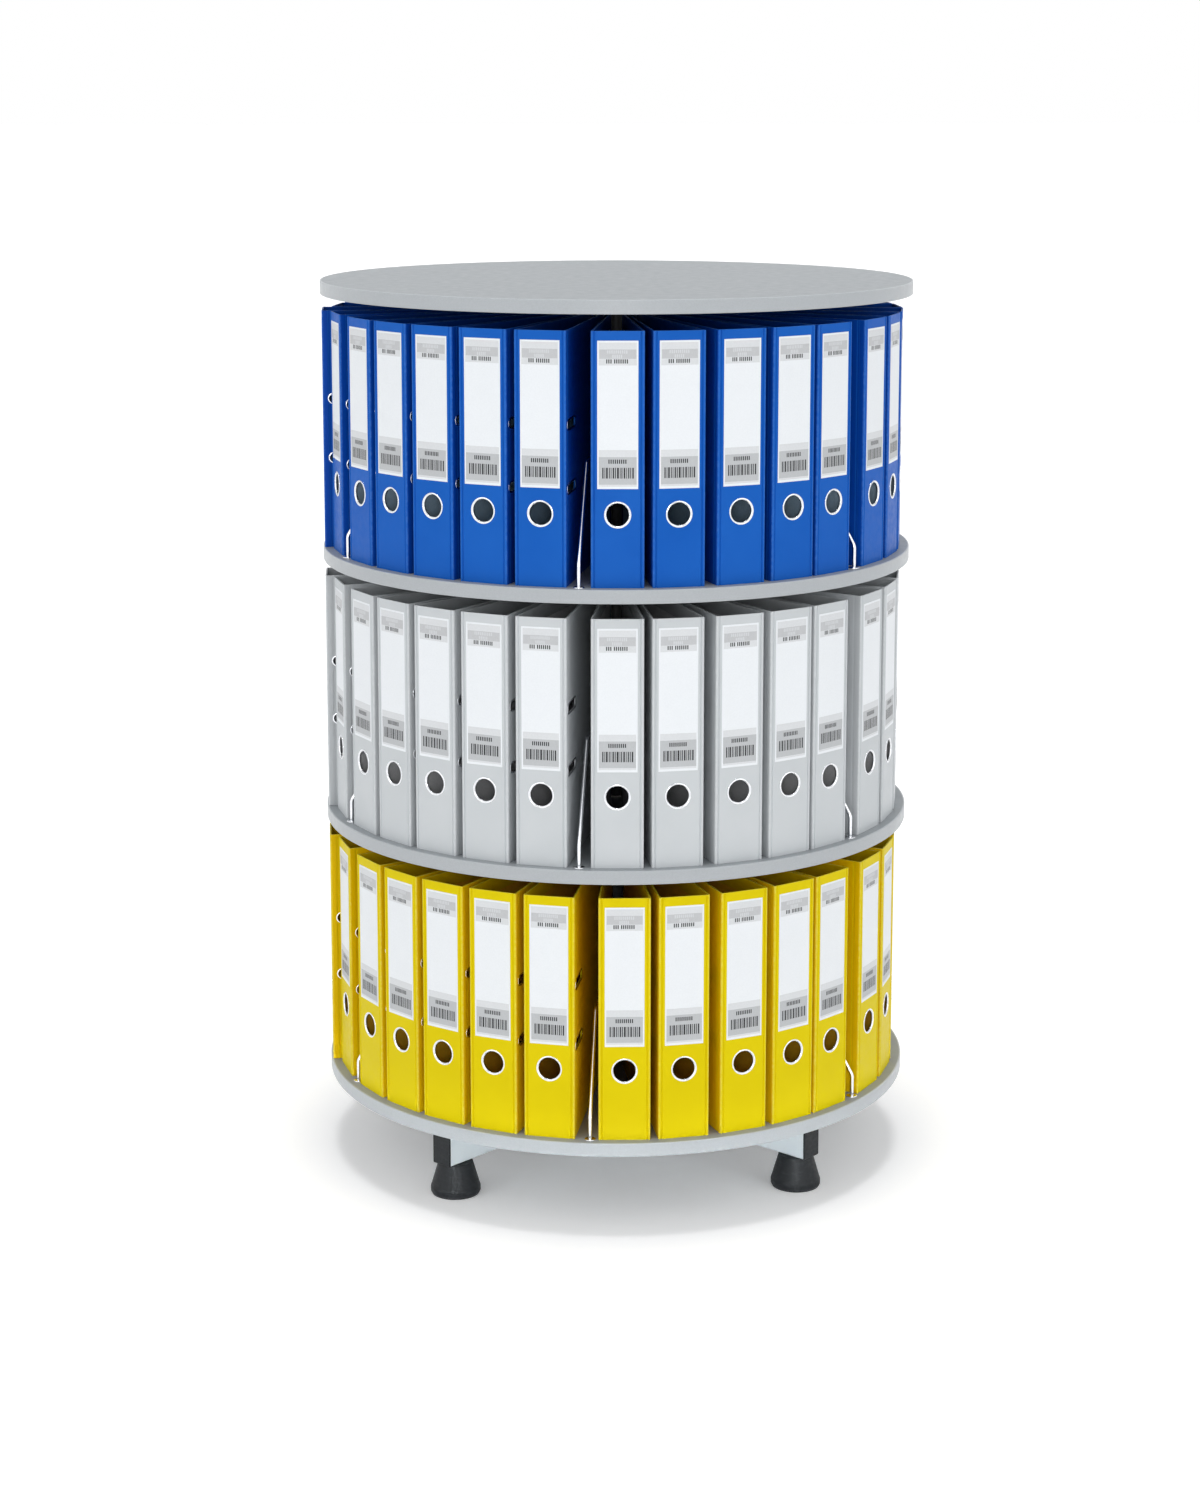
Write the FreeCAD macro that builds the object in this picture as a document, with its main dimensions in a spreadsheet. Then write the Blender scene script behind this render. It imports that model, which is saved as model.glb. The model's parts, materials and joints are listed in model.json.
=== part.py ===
import FreeCAD, Part
import Sketcher
import math
import os
from FreeCAD import Placement, Rotation, Vector

# Rotary filing cabinet, in millimetres and degrees.
# A cross foot carries one fixed column.  Three round shelves turn on the column by themselves, each
# on its own thrust bearing, and a fixed board closes the top.  Wire dividers part every shelf into
# six bays of five wedge-shaped lever arch files, which stand upright with their spines outward.
# The origin is on the floor under the column, +Z is up and the front is towards -Y.

DRIVING_SIZES = [
    # boards
    ("board_diameter", 800, "outside the edge band"),
    ("board_thickness", 18, ""),
    ("band_thickness", 2, "edge band glued round each board"),
    # files
    ("file_height", 320, "A4 lever arch file"),
    ("file_headroom", 21, "from the top of a file to the board above"),
    ("file_depth", 285, "spine to fore edge"),
    ("spine_width", 67, ""),
    ("file_board", 2.2, "thickness of the file's boards"),
    ("spine_setback", 13.5, "from the shelf's rim to the face of the spine"),
    ("spine_chamfer", 1.2, "along the spine's two long outer edges"),
    ("spine_gap", 10.15, "between the faces of neighbours in a bay"),
    ("fore_edge_gap", 1.76, "between the fore edges of neighbours in a bay"),
    ("pushed_gap", 0.35, "between fore edges where files are pushed aside"),
    ("proud_reach", 11, "how far a file that was put back loosely stands out"),
    ("divider_room", 14, "least width kept for a divider at the spines"),
    ("bay_count", 6, ""),
    ("label_width", 50.6, ""),
    ("label_bottom", 124.5, "above the shelf"),
    ("label_top_gap", 12, "from the label to the top of the file"),
    ("label_card", 0.3, "thickness of the label"),
    ("finger_height", 92, "centre of the finger hole above the shelf"),
    ("finger_hole", 28, "bore of the finger ring"),
    ("finger_rim", 34, "outside of the finger ring's rim"),
    ("ring_metal", 0.8, "sheet of the finger ring"),
    # dividers
    ("wire", 5, "diameter of the divider's wire"),
    ("toe_setback", 15, "from the shelf's rim to the divider's front leg"),
    ("toe_height", 29, "upright foot of the front leg"),
    ("leg_slope", 32.7, "lean of the front leg from upright"),
    ("divider_height", 150, "axis of the top run above the shelf"),
    ("heel_reach", 150, "column axis to the divider's rear leg"),
    ("wire_bend", 9, "bend radius on the wire's axis"),
    ("toe_bend", 12, "bend radius at the kink of the front leg"),
    ("wire_depth", 10, "how far a leg goes into the shelf"),
    ("ferrule_diameter", 14.5, ""),
    ("ferrule_height", 3, ""),
    # turn of each tier as it stands, from the front towards +X
    ("lower_turn", -8.45, "first divider of the lower tier"),
    ("middle_turn", -10.5, "first divider of the middle tier"),
    ("upper_turn", -10.5, "first divider of the upper tier"),
    ("lower_lean", -0.65, "shift of the lower files in their bays"),
    ("middle_lean", 0, "shift of the middle files in their bays"),
    ("upper_lean", 0, "shift of the upper files in their bays"),
    # foot
    ("arm_clearance", 44, "floor to the underside of the arms"),
    ("arm_width", 30, ""),
    ("arm_height", 50, ""),
    ("arm_wall", 2, ""),
    ("arm_overhang", 27, "axis of a foot to the outer face of an end cap"),
    ("arm_turn", 45, "first arm from +X"),
    ("cap_flange", 3, ""),
    ("cap_plug_gap", 2, "from the cap's plug to the insert"),
    ("socket_width", 60, ""),
    ("socket_floor", 5, ""),
    ("foot_reach", 323, "column axis to the axis of a foot"),
    ("foot_top", 46, "diameter"),
    ("foot_rim", 66.6, "diameter"),
    ("foot_sole", 63, "diameter"),
    ("foot_rim_low", 3, "height of the lower edge of the rim"),
    ("foot_rim_high", 11, "height of the upper edge of the rim"),
    ("stud", 10, "diameter"),
    ("stud_seat", 34, "depth of the stud in the foot"),
    ("stud_rise", 38, "stud above the foot"),
    ("insert_wall", 1.95, "of the shank round the stud's bore"),
    ("insert_rim", 3, "how far the collar stands out from the shank"),
    ("insert_height", 26, ""),
    # column
    ("column", 25, "diameter"),
    ("column_wall", 2, ""),
    ("column_plug", 25, "solid end in the socket"),
    ("bolt", 8, "diameter"),
    ("bolt_head", 13, "diameter"),
    ("bolt_head_height", 8, ""),
    ("bolt_grip", 17, "thread in the column"),
    ("collar_wall", 8.5, ""),
    ("collar_height", 14, ""),
    ("grub_screw", 6, "diameter"),
    # bearing
    ("race_width", 8.5, "radial"),
    ("race_thickness", 3, ""),
    ("ball", 5, "diameter"),
    ("ball_count", 14, ""),
    ("cage_thickness", 3, ""),
    ("cage_inset", 0.5, "from the edges of the race to the cage"),
    # hub
    ("hub_diameter", 150, ""),
    ("hub_plate", 3.5, ""),
    ("hub_boss", 2.9, "from the plate down to the balls' track"),
    ("sleeve_wall", 2.95, ""),
    ("bush_wall", 1.5, ""),
    ("bush_lip", 1.5, ""),
    ("hub_screw_inset", 15, "from the hub's rim to the axis of a screw"),
    ("hub_screw_count", 6, ""),
    # top
    ("flange_diameter", 120, ""),
    ("flange_plate", 4, ""),
    ("spigot_length", 30, ""),
    ("flange_screw_inset", 13, "from the flange's rim to the axis of a screw"),
    ("flange_screw_count", 4, ""),
    # wood screws
    ("screw_shank", 4, "diameter"),
    ("screw_head", 8.5, "diameter"),
    ("screw_head_height", 2.6, ""),
    ("screw_depth", 12, "thread in the board"),
    # clearances
    ("running_gap", 0.05, "radial, between the bush and the column, and round the balls"),
    ("seat_gap", 0.05, "radial, between pieces that are pushed together"),
    ("board_gap", 0.25, "radial, round the sleeve and the plugs of the end caps"),
]

# Sizes and heights above the floor that follow from the driving sizes.
DERIVED_SIZES = [
    ("arm_top", "sizes.arm_clearance + sizes.arm_height"),
    ("bearing_height", "sizes.race_thickness + sizes.ball + 2 * sizes.running_gap"
                       " + sizes.hub_boss + sizes.hub_plate"),
    ("tier_pitch", "sizes.board_thickness + sizes.file_height + sizes.file_headroom"),
    ("lower_shelf", "derived.arm_top + derived.bearing_height"),
    ("middle_shelf", "derived.lower_shelf + derived.tier_pitch"),
    ("upper_shelf", "derived.middle_shelf + derived.tier_pitch"),
    ("top_board", "derived.upper_shelf + derived.tier_pitch"),
    ("column_foot", "sizes.arm_clearance + sizes.socket_floor"),
    ("column_top", "derived.top_board - sizes.flange_plate"),
    ("arm_reach", "sizes.foot_reach + sizes.arm_overhang"),
    ("insert_shank", "sizes.stud + 2 * sizes.running_gap + 2 * sizes.insert_wall"),
    ("insert_collar", "derived.insert_shank + 2 * sizes.insert_rim"),
    ("cap_plug", "sizes.arm_overhang - sizes.cap_flange - derived.insert_collar / 2"
                 " - sizes.cap_plug_gap"),
    ("race_diameter", "sizes.column + 2 * sizes.race_width"),
    ("ball_reach", "(sizes.column + sizes.race_width) / 2"),
    ("cage_width", "sizes.race_width - 2 * sizes.cage_inset"),
    ("sleeve_diameter", "sizes.column + 2 * (sizes.running_gap + sizes.bush_wall + sizes.sleeve_wall)"),
    ("hub_screw_reach", "sizes.hub_diameter / 2 - sizes.hub_screw_inset"),
    ("flange_screw_reach", "sizes.flange_diameter / 2 - sizes.flange_screw_inset"),
    ("toe_reach", "sizes.board_diameter / 2 - sizes.toe_setback"),
    ("spine_face", "sizes.board_diameter / 2 - sizes.spine_setback"),
    ("spine_back", "derived.spine_face - sizes.file_board"),
    ("fore_edge", "derived.spine_face - sizes.file_depth"),
    ("file_splay", "(sizes.spine_width + sizes.spine_gap) / derived.spine_face"),
    ("fore_edge_width", "derived.fore_edge * derived.file_splay - sizes.fore_edge_gap"),
]

TIERS = ["lower", "middle", "upper"]
FEET = [("rear_right", 45), ("rear_left", 135), ("front_left", 225), ("front_right", 315)]
# Files out of the even line on every tier, and the one that pulls out, as (bay, place in the bay)
PUSHED_PLACES = ((0, 2), (0, 3))
PROUD_PLACE = (4, 3)
PULL_OUT_TIER = "upper"
PULL_OUT_PLACE = (0, 0)

doc = FreeCAD.newDocument("rotary_filing_cabinet")
sizes = doc.addObject("Spreadsheet::Sheet", "sizes")
derived = doc.addObject("Spreadsheet::Sheet", "derived")
sub_parts = []


def fill_sheets():
    for row, (alias, value, meaning) in enumerate(DRIVING_SIZES, start=1):
        sizes.set(f"A{row}", str(value))
        sizes.setAlias(f"A{row}", alias)
        sizes.set(f"B{row}", alias.replace("_", " "))
        sizes.set(f"C{row}", meaning)
    doc.recompute()
    for row, (alias, formula) in enumerate(DERIVED_SIZES, start=1):
        derived.set(f"A{row}", "=" + formula.replace("derived.", ""))
        derived.setAlias(f"A{row}", alias)
        derived.set(f"B{row}", alias.replace("_", " "))
        doc.recompute()


def value_of(expression):
    """The number that an expression on the sheets stands for."""
    return float(sizes.evalExpression(expression))


def size(alias):
    return value_of("sizes." + alias)


# ---------------------------------------------------------------- features

def new_body(label):
    body = doc.addObject("PartDesign::Body", label)
    body.Label = label
    return body


def sub_part(piece, label):
    """Name a finished piece and put it on the list of pieces to write."""
    piece.Label = label
    sub_parts.append(piece)
    return piece


def new_sketch(body, name, role, offset):
    sketch = body.newObject("Sketcher::SketchObject", name)
    plane = [feature for feature in body.Origin.OriginFeatures if feature.Role == role][0]
    sketch.AttachmentSupport = [(plane, "")]
    sketch.MapMode = "FlatFace"
    sketch.setExpression("AttachmentOffset.Base.z", offset)
    return sketch


def tie_point(sketch, geometry, point, across, along):
    """Hold a point of the sketch at two expressions."""
    for kind, expression in (("DistanceX", across), ("DistanceY", along)):
        constraint = Sketcher.Constraint(kind, geometry, point, value_of(expression))
        sketch.setExpression(f"Constraints[{sketch.addConstraint(constraint)}]", expression)


def add_outline(sketch, points):
    """Closed outline of straight lines with every corner tied to the sheets."""
    first = sketch.GeometryCount
    corners = [Vector(value_of(across), value_of(along), 0) for across, along in points]
    count = len(corners)
    for index, corner in enumerate(corners):
        sketch.addGeometry(Part.LineSegment(corner, corners[(index + 1) % count]))
    for index in range(count):
        following = first + (index + 1) % count
        sketch.addConstraint(Sketcher.Constraint("Coincident", first + index, 2, following, 1))
        tie_point(sketch, first + index, 1, *points[index])


def add_circle(sketch, diameter, across="0", along="0"):
    centre = Vector(value_of(across), value_of(along), 0)
    circle = sketch.addGeometry(Part.Circle(centre, Vector(0, 0, 1), value_of(diameter) / 2))
    index = sketch.addConstraint(Sketcher.Constraint("Diameter", circle, value_of(diameter)))
    sketch.setExpression(f"Constraints[{index}]", diameter)
    tie_point(sketch, circle, 3, across, along)


def pad(body, name, sketch, length):
    feature = body.newObject("PartDesign::Pad", name)
    feature.Profile = sketch
    feature.setExpression("Length", length)
    return feature


def pad_outline(body, name, role, start, length, *outlines):
    sketch = new_sketch(body, name + "_outline", role, start)
    for points in outlines:
        add_outline(sketch, points)
    return pad(body, name, sketch, length)


def pad_round(body, name, diameter, start, length, bore=None, reach="0"):
    """Round pad or ring on an upright axis that stands `reach` out along X."""
    sketch = new_sketch(body, name + "_outline", "XY_Plane", start)
    add_circle(sketch, diameter, reach)
    if bore:
        add_circle(sketch, bore, reach)
    return pad(body, name, sketch, length)


def cut_round(body, name, diameter, top, depth, reach="0"):
    """Round hole, `depth` deep down from `top`."""
    sketch = new_sketch(body, name + "_outline", "XY_Plane", top)
    add_circle(sketch, diameter, reach)
    return cut(body, name, sketch, depth)


def cut(body, name, sketch, depth, reversed_way=False):
    doc.recompute()
    before = body.Shape.Volume
    feature = body.newObject("PartDesign::Pocket", name)
    feature.Profile = sketch
    feature.Reversed = reversed_way
    feature.setExpression("Length", depth)
    doc.recompute()
    if body.Shape.Volume >= before:
        raise RuntimeError(f"{body.Label}: {name} cuts nothing")
    return feature


def revolve(body, name, points):
    """Solid of revolution about Z; each point is a radius and a height."""
    sketch = new_sketch(body, name + "_outline", "XZ_Plane", "0")
    add_outline(sketch, points)
    feature = body.newObject("PartDesign::Revolution", name)
    feature.Profile = sketch
    feature.ReferenceAxis = (sketch, ["V_Axis"])
    feature.Angle = 360
    return feature


def repeat_round(body, name, features, count):
    """Copy features evenly round Z."""
    pattern = body.newObject("PartDesign::PolarPattern", name)
    pattern.Originals = features
    pattern.Axis = (features[0].Profile[0], ["N_Axis"])
    pattern.Angle = 360
    pattern.setExpression("Occurrences", count)
    body.Tip = pattern
    return pattern


def place(piece, height="0", turn="0", x="0", y="0"):
    """Stand a piece at a height and turn it about Z."""
    piece.Placement = Placement(Vector(0, 0, 0), Rotation(Vector(0, 0, 1), 1))
    piece.setExpression("Placement.Base.x", x)
    piece.setExpression("Placement.Base.y", y)
    piece.setExpression("Placement.Base.z", height)
    piece.setExpression("Placement.Rotation.Angle", turn)
    return piece


def group(label, shapes):
    """One sub-part of several solids that no single pattern can place."""
    piece = doc.addObject("Part::Feature", label)
    piece.Shape = Part.makeCompound(shapes)
    return sub_part(piece, label)


def turned(shape, angle, height=0):
    """Copy of a shape, turned about Z and lifted."""
    copy = shape.copy()
    copy.Placement = Placement(Vector(0, 0, height), Rotation(Vector(0, 0, 1), angle)) * copy.Placement
    return copy


# ---------------------------------------------------------------- base

def make_arms():
    """Four rectangular tubes that butt on the faces of the socket."""
    body = new_body("base_arms")
    half, low, high = "sizes.arm_width / 2", "sizes.arm_clearance", "derived.arm_top"
    outside = [(f"-{half}", low), (half, low), (half, high), (f"-{half}", high)]
    inner_half = "(sizes.arm_width / 2 - sizes.arm_wall)"
    inner_low, inner_high = f"{low} + sizes.arm_wall", f"{high} - sizes.arm_wall"
    inside = [(f"-{inner_half}", inner_low), (inner_half, inner_low),
              (inner_half, inner_high), (f"-{inner_half}", inner_high)]
    length = "derived.arm_reach - sizes.cap_flange - sizes.socket_width / 2"
    tube = pad_outline(body, "arm", "YZ_Plane", "sizes.socket_width / 2", length, outside, inside)
    hole = cut_round(body, "insert_hole", "derived.insert_shank + 2 * sizes.seat_gap",
                     f"{low} + sizes.arm_wall", "sizes.arm_wall", "sizes.foot_reach")
    repeat_arms(body, [tube, hole])
    sub_part(place(body, turn="sizes.arm_turn"), "base_arms")


def repeat_arms(body, features):
    pattern = body.newObject("PartDesign::PolarPattern", body.Label + "_round")
    pattern.Originals = features
    pattern.Axis = ([plane for plane in body.Origin.OriginFeatures if plane.Role == "Z_Axis"][0], [""])
    pattern.Angle = 360
    pattern.Occurrences = len(FEET)
    body.Tip = pattern


def make_arm_caps():
    """Plug and flange that close the end of each arm."""
    body = new_body("arm_end_caps")
    half, low, high = "sizes.arm_width / 2", "sizes.arm_clearance", "derived.arm_top"
    flange = pad_outline(body, "flange", "YZ_Plane", "derived.arm_reach - sizes.cap_flange",
                         "sizes.cap_flange",
                         [(f"-{half}", low), (half, low), (half, high), (f"-{half}", high)])
    inset = "(sizes.arm_wall + sizes.board_gap)"
    plug_half = f"({half} - {inset})"
    plug_low, plug_high = f"{low} + {inset}", f"{high} - {inset}"
    plug = pad_outline(body, "plug", "YZ_Plane", "derived.arm_reach - sizes.cap_flange - derived.cap_plug",
                       "derived.cap_plug",
                       [(f"-{plug_half}", plug_low), (plug_half, plug_low),
                        (plug_half, plug_high), (f"-{plug_half}", plug_high)])
    repeat_arms(body, [flange, plug])
    sub_part(place(body, turn="sizes.arm_turn"), "arm_end_caps")


def make_foot_inserts():
    """Threaded bushes that sit in the lower wall of each arm."""
    body = new_body("foot_inserts")
    bore = "sizes.stud + 2 * sizes.running_gap"
    shank = pad_round(body, "shank", "derived.insert_shank", "sizes.arm_clearance",
                      "sizes.arm_wall", bore, "sizes.foot_reach")
    collar = pad_round(body, "collar", "derived.insert_collar", "sizes.arm_clearance + sizes.arm_wall",
                       "sizes.insert_height", bore, "sizes.foot_reach")
    repeat_arms(body, [shank, collar])
    sub_part(place(body, turn="sizes.arm_turn"), "foot_inserts")


def make_foot(name, angle):
    """Plastic cone foot with the threaded stud that is moulded into it."""
    turn = f"({angle - FEET[0][1]} + sizes.arm_turn)"
    spot = {"x": f"sizes.foot_reach * cos({turn})", "y": f"sizes.foot_reach * sin({turn})"}
    glide = new_body(f"{name}_foot_glide")
    seat = "sizes.stud / 2 + sizes.seat_gap"
    seat_floor = "sizes.arm_clearance - sizes.stud_seat"
    revolve(glide, "cone", [
        ("0", "0"), ("sizes.foot_sole / 2", "0"), ("sizes.foot_rim / 2", "sizes.foot_rim_low"),
        ("sizes.foot_rim / 2", "sizes.foot_rim_high"), ("sizes.foot_top / 2", "sizes.arm_clearance"),
        (seat, "sizes.arm_clearance"), (seat, seat_floor), ("0", seat_floor)])
    sub_part(place(glide, **spot), f"{name}_foot_glide")
    stud = new_body(f"{name}_foot_stud")
    pad_round(stud, "thread", "sizes.stud", seat_floor, "sizes.stud_seat + sizes.stud_rise")
    sub_part(place(stud, **spot), f"{name}_foot_stud")


def make_socket():
    """Steel block in the middle of the cross, bored for the column."""
    body = new_body("base_socket")
    half = "sizes.socket_width / 2"
    pad_outline(body, "block", "XY_Plane", "sizes.arm_clearance", "sizes.arm_height",
                [(f"-{half}", f"-{half}"), (half, f"-{half}"), (half, half), (f"-{half}", half)])
    cut_round(body, "column_bore", "sizes.column + 2 * sizes.seat_gap", "derived.arm_top",
              "sizes.arm_height - sizes.socket_floor")
    cut_round(body, "bolt_hole", "sizes.bolt + 2 * sizes.seat_gap", "derived.column_foot",
              "sizes.socket_floor")
    sub_part(place(body, turn="sizes.arm_turn"), "base_socket")


def make_column():
    """Steel tube with a solid, threaded lower end."""
    body = new_body("column")
    outer, inner = "sizes.column / 2", "sizes.column / 2 - sizes.column_wall"
    thread = "sizes.bolt / 2 + sizes.seat_gap"
    foot, top = "derived.column_foot", "derived.column_top"
    thread_top = f"{foot} + sizes.bolt_grip + sizes.seat_gap"
    revolve(body, "tube", [
        (thread, foot), (outer, foot), (outer, top), (inner, top),
        (inner, f"{foot} + sizes.column_plug"), ("0", f"{foot} + sizes.column_plug"),
        ("0", thread_top), (thread, thread_top)])
    sub_part(body, "column")
    bolt = new_body("column_bolt")
    pad_round(bolt, "head", "sizes.bolt_head", "sizes.arm_clearance - sizes.bolt_head_height",
              "sizes.bolt_head_height")
    pad_round(bolt, "shank", "sizes.bolt", "sizes.arm_clearance", "sizes.socket_floor + sizes.bolt_grip")
    sub_part(bolt, "column_bolt")


def make_collars():
    """Clamp collars under the two tiers that don't stand on the socket, with their grub screws."""
    collar = new_body("collar_pattern")
    pad_round(collar, "ring", "sizes.column + 2 * sizes.collar_wall", "-sizes.collar_height",
              "sizes.collar_height", "sizes.column + 2 * sizes.seat_gap")
    drill = new_sketch(collar, "screw_hole_outline", "YZ_Plane", "0")
    add_circle(drill, "sizes.grub_screw + 2 * sizes.seat_gap", "0", "-sizes.collar_height / 2")
    cut(collar, "screw_hole", drill, "sizes.column / 2 + sizes.collar_wall", reversed_way=True)
    screw = new_body("grub_screw_pattern")
    outline = new_sketch(screw, "screw_outline", "YZ_Plane", "sizes.column / 2")
    add_circle(outline, "sizes.grub_screw", "0", "-sizes.collar_height / 2")
    pad(screw, "screw", outline, "sizes.collar_wall")
    doc.recompute()
    seats = [value_of(f"derived.{tier}_shelf - derived.bearing_height") for tier in TIERS[1:]]
    group("shaft_collars", [turned(collar.Shape, 0, seat) for seat in seats])
    group("collar_screws", [turned(screw.Shape, 0, seat) for seat in seats])


def make_lower_races():
    """Hardened washers that carry the balls of the three bearings."""
    race = new_body("race_pattern")
    pad_round(race, "washer", "derived.race_diameter", "0", "sizes.race_thickness",
              "sizes.column + 2 * sizes.seat_gap")
    doc.recompute()
    seats = [value_of(f"derived.{tier}_shelf - derived.bearing_height") for tier in TIERS]
    group("bearing_lower_races", [turned(race.Shape, 0, seat) for seat in seats])


def make_top():
    """Fixed top board on a flange that plugs into the column."""
    flange = new_body("top_flange")
    pad_round(flange, "plate", "sizes.flange_diameter", "derived.column_top", "sizes.flange_plate")
    pad_round(flange, "spigot", "sizes.column - 2 * sizes.column_wall - 2 * sizes.seat_gap",
              "derived.column_top - sizes.spigot_length", "sizes.spigot_length")
    hole = cut_round(flange, "screw_hole", "sizes.screw_shank + 2 * sizes.seat_gap", "derived.top_board",
                     "sizes.flange_plate", "derived.flange_screw_reach")
    repeat_round(flange, "screw_holes", [hole], "sizes.flange_screw_count")
    sub_part(flange, "top_flange")
    make_screws("top_flange_screws", "derived.top_board - sizes.flange_plate", "sizes.flange_plate",
                "derived.flange_screw_reach", "sizes.flange_screw_count")
    board = make_board("top_board", "derived.top_board")
    pilot = cut_round(board, "pilot_hole", "sizes.screw_shank + 2 * sizes.seat_gap", "sizes.screw_depth",
                      "sizes.screw_depth", "derived.flange_screw_reach")
    repeat_round(board, "pilot_holes", [pilot], "sizes.flange_screw_count")
    make_band("top_edge_band", "derived.top_board")


def make_board(label, height, turn="0"):
    """Round board without its edge band, its underside at `height`."""
    board = new_body(label)
    pad_round(board, "disc", "sizes.board_diameter - 2 * sizes.band_thickness", "0", "sizes.board_thickness")
    return sub_part(place(board, height, turn), label)


def make_band(label, height, turn="0"):
    band = new_body(label)
    pad_round(band, "band", "sizes.board_diameter", "0", "sizes.board_thickness",
              "sizes.board_diameter - 2 * sizes.band_thickness")
    sub_part(place(band, height, turn), label)


def make_screws(label, seat, plate, reach, count, turn="0"):
    """Ring of pan-head wood screws, driven up through a plate whose underside is at `seat`."""
    screws = new_body(label)
    head = pad_round(screws, "head", "sizes.screw_head", "-sizes.screw_head_height",
                     "sizes.screw_head_height", reach=reach)
    shank = pad_round(screws, "shank", "sizes.screw_shank", "0", f"{plate} + sizes.screw_depth", reach=reach)
    repeat_round(screws, "ring", [head, shank], count)
    sub_part(place(screws, seat, turn), label)


# ---------------------------------------------------------------- tiers

def make_tier(tier):
    """Shelf, hub, bearing and dividers of one tier, in heights from the underside of the shelf."""
    height, turn = f"derived.{tier}_shelf", f"sizes.{tier}_turn - 90"
    make_shelf(tier, height, turn)
    make_band(f"{tier}_shelf_edge_band", height, turn)
    make_hub(tier, height, turn)
    make_screws(f"{tier}_hub_screws", f"{height} - sizes.hub_plate", "sizes.hub_plate",
                "derived.hub_screw_reach", "sizes.hub_screw_count", turn)
    make_bearing_cage(tier)
    make_dividers(tier, height, turn)


def make_shelf(tier, height, turn):
    shelf = make_board(f"{tier}_shelf", height, turn)
    cut_round(shelf, "sleeve_hole", "derived.sleeve_diameter + 2 * sizes.board_gap",
              "sizes.board_thickness", "sizes.board_thickness")
    pilot = cut_round(shelf, "pilot_hole", "sizes.screw_shank + 2 * sizes.seat_gap", "sizes.screw_depth",
                      "sizes.screw_depth", "derived.hub_screw_reach")
    repeat_round(shelf, "pilot_holes", [pilot], "sizes.hub_screw_count")
    bore = "sizes.wire + 2 * sizes.seat_gap"
    toe = cut_round(shelf, "toe_hole", bore, "sizes.board_thickness", "sizes.wire_depth",
                    "derived.toe_reach")
    heel = cut_round(shelf, "heel_hole", bore, "sizes.board_thickness", "sizes.wire_depth",
                     "sizes.heel_reach")
    repeat_round(shelf, "wire_holes", [toe, heel], "sizes.bay_count")


def make_hub(tier, height, turn):
    """Flanged hub whose boss runs on the balls, and the plastic bush that steadies it on the column."""
    hub = new_body(f"{tier}_hub")
    plate, boss = "-sizes.hub_plate", "-sizes.hub_plate - sizes.hub_boss"
    sleeve, bore = "derived.sleeve_diameter / 2", "sizes.column / 2 + sizes.running_gap + sizes.bush_wall"
    rim, race = "sizes.hub_diameter / 2", "derived.race_diameter / 2"
    revolve(hub, "flange", [
        (bore, boss), (race, boss), (race, plate), (rim, plate), (rim, "0"), (sleeve, "0"),
        (sleeve, "sizes.board_thickness"), (bore, "sizes.board_thickness")])
    hole = cut_round(hub, "screw_hole", "sizes.screw_shank + 2 * sizes.seat_gap", "0",
                     "sizes.hub_plate", "derived.hub_screw_reach")
    repeat_round(hub, "screw_holes", [hole], "sizes.hub_screw_count")
    sub_part(place(hub, height, turn), f"{tier}_hub")
    bush = new_body(f"{tier}_hub_bush")
    running = "sizes.column / 2 + sizes.running_gap"
    outside = f"{bore} - sizes.seat_gap"
    lip = "sizes.board_thickness + sizes.bush_lip"
    revolve(bush, "liner", [
        (running, boss), (outside, boss), (outside, "sizes.board_thickness"),
        (sleeve, "sizes.board_thickness"), (sleeve, lip), (running, lip)])
    sub_part(place(bush, height, turn), f"{tier}_hub_bush")


def make_bearing_cage(tier):
    """Ball cage with its balls, halfway between the lower race and the hub's boss."""
    cage = new_body(f"{tier}_cage_pattern")
    seat = "derived.bearing_height - sizes.race_thickness"
    centre = f"-({seat}) + sizes.running_gap + sizes.ball / 2"
    middle = "2 * derived.ball_reach"
    pad_round(cage, "ring", f"{middle} + derived.cage_width", f"{centre} - sizes.cage_thickness / 2",
              "sizes.cage_thickness", f"{middle} - derived.cage_width")
    pocket = cut_round(cage, "pocket", "sizes.ball + 2 * sizes.seat_gap",
                       f"{centre} + sizes.cage_thickness / 2", "sizes.cage_thickness", "derived.ball_reach")
    repeat_round(cage, "pockets", [pocket], "sizes.ball_count")
    doc.recompute()
    count = round(size("ball_count"))
    ball = Part.makeSphere(size("ball") / 2, Vector(value_of("derived.ball_reach"), 0, value_of(centre)))
    shelf = value_of(f"derived.{tier}_shelf")
    balls = [turned(ball, 360 / count * index, shelf) for index in range(count)]
    group(f"{tier}_bearing_cage", [turned(cage.Shape, 0, shelf)] + balls)


def bent_path(corners, radii):
    """Straight runs joined by tangent arcs."""
    edges = []
    start = corners[0]
    for before, corner, after, radius in zip(corners, corners[1:], corners[2:], radii):
        arriving, leaving = (before - corner).normalize(), (after - corner).normalize()
        half_angle = arriving.getAngle(leaving) / 2
        setback = radius / math.tan(half_angle)
        entry, leave = corner + arriving * setback, corner + leaving * setback
        bisector = (arriving + leaving).normalize()
        middle = corner + bisector * (radius / math.sin(half_angle) - radius)
        edges.append(Part.makeLine(start, entry))
        edges.append(Part.Arc(entry, middle, leave).toShape())
        start = leave
    edges.append(Part.makeLine(start, corners[-1]))
    return Part.Wire(edges)


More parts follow.
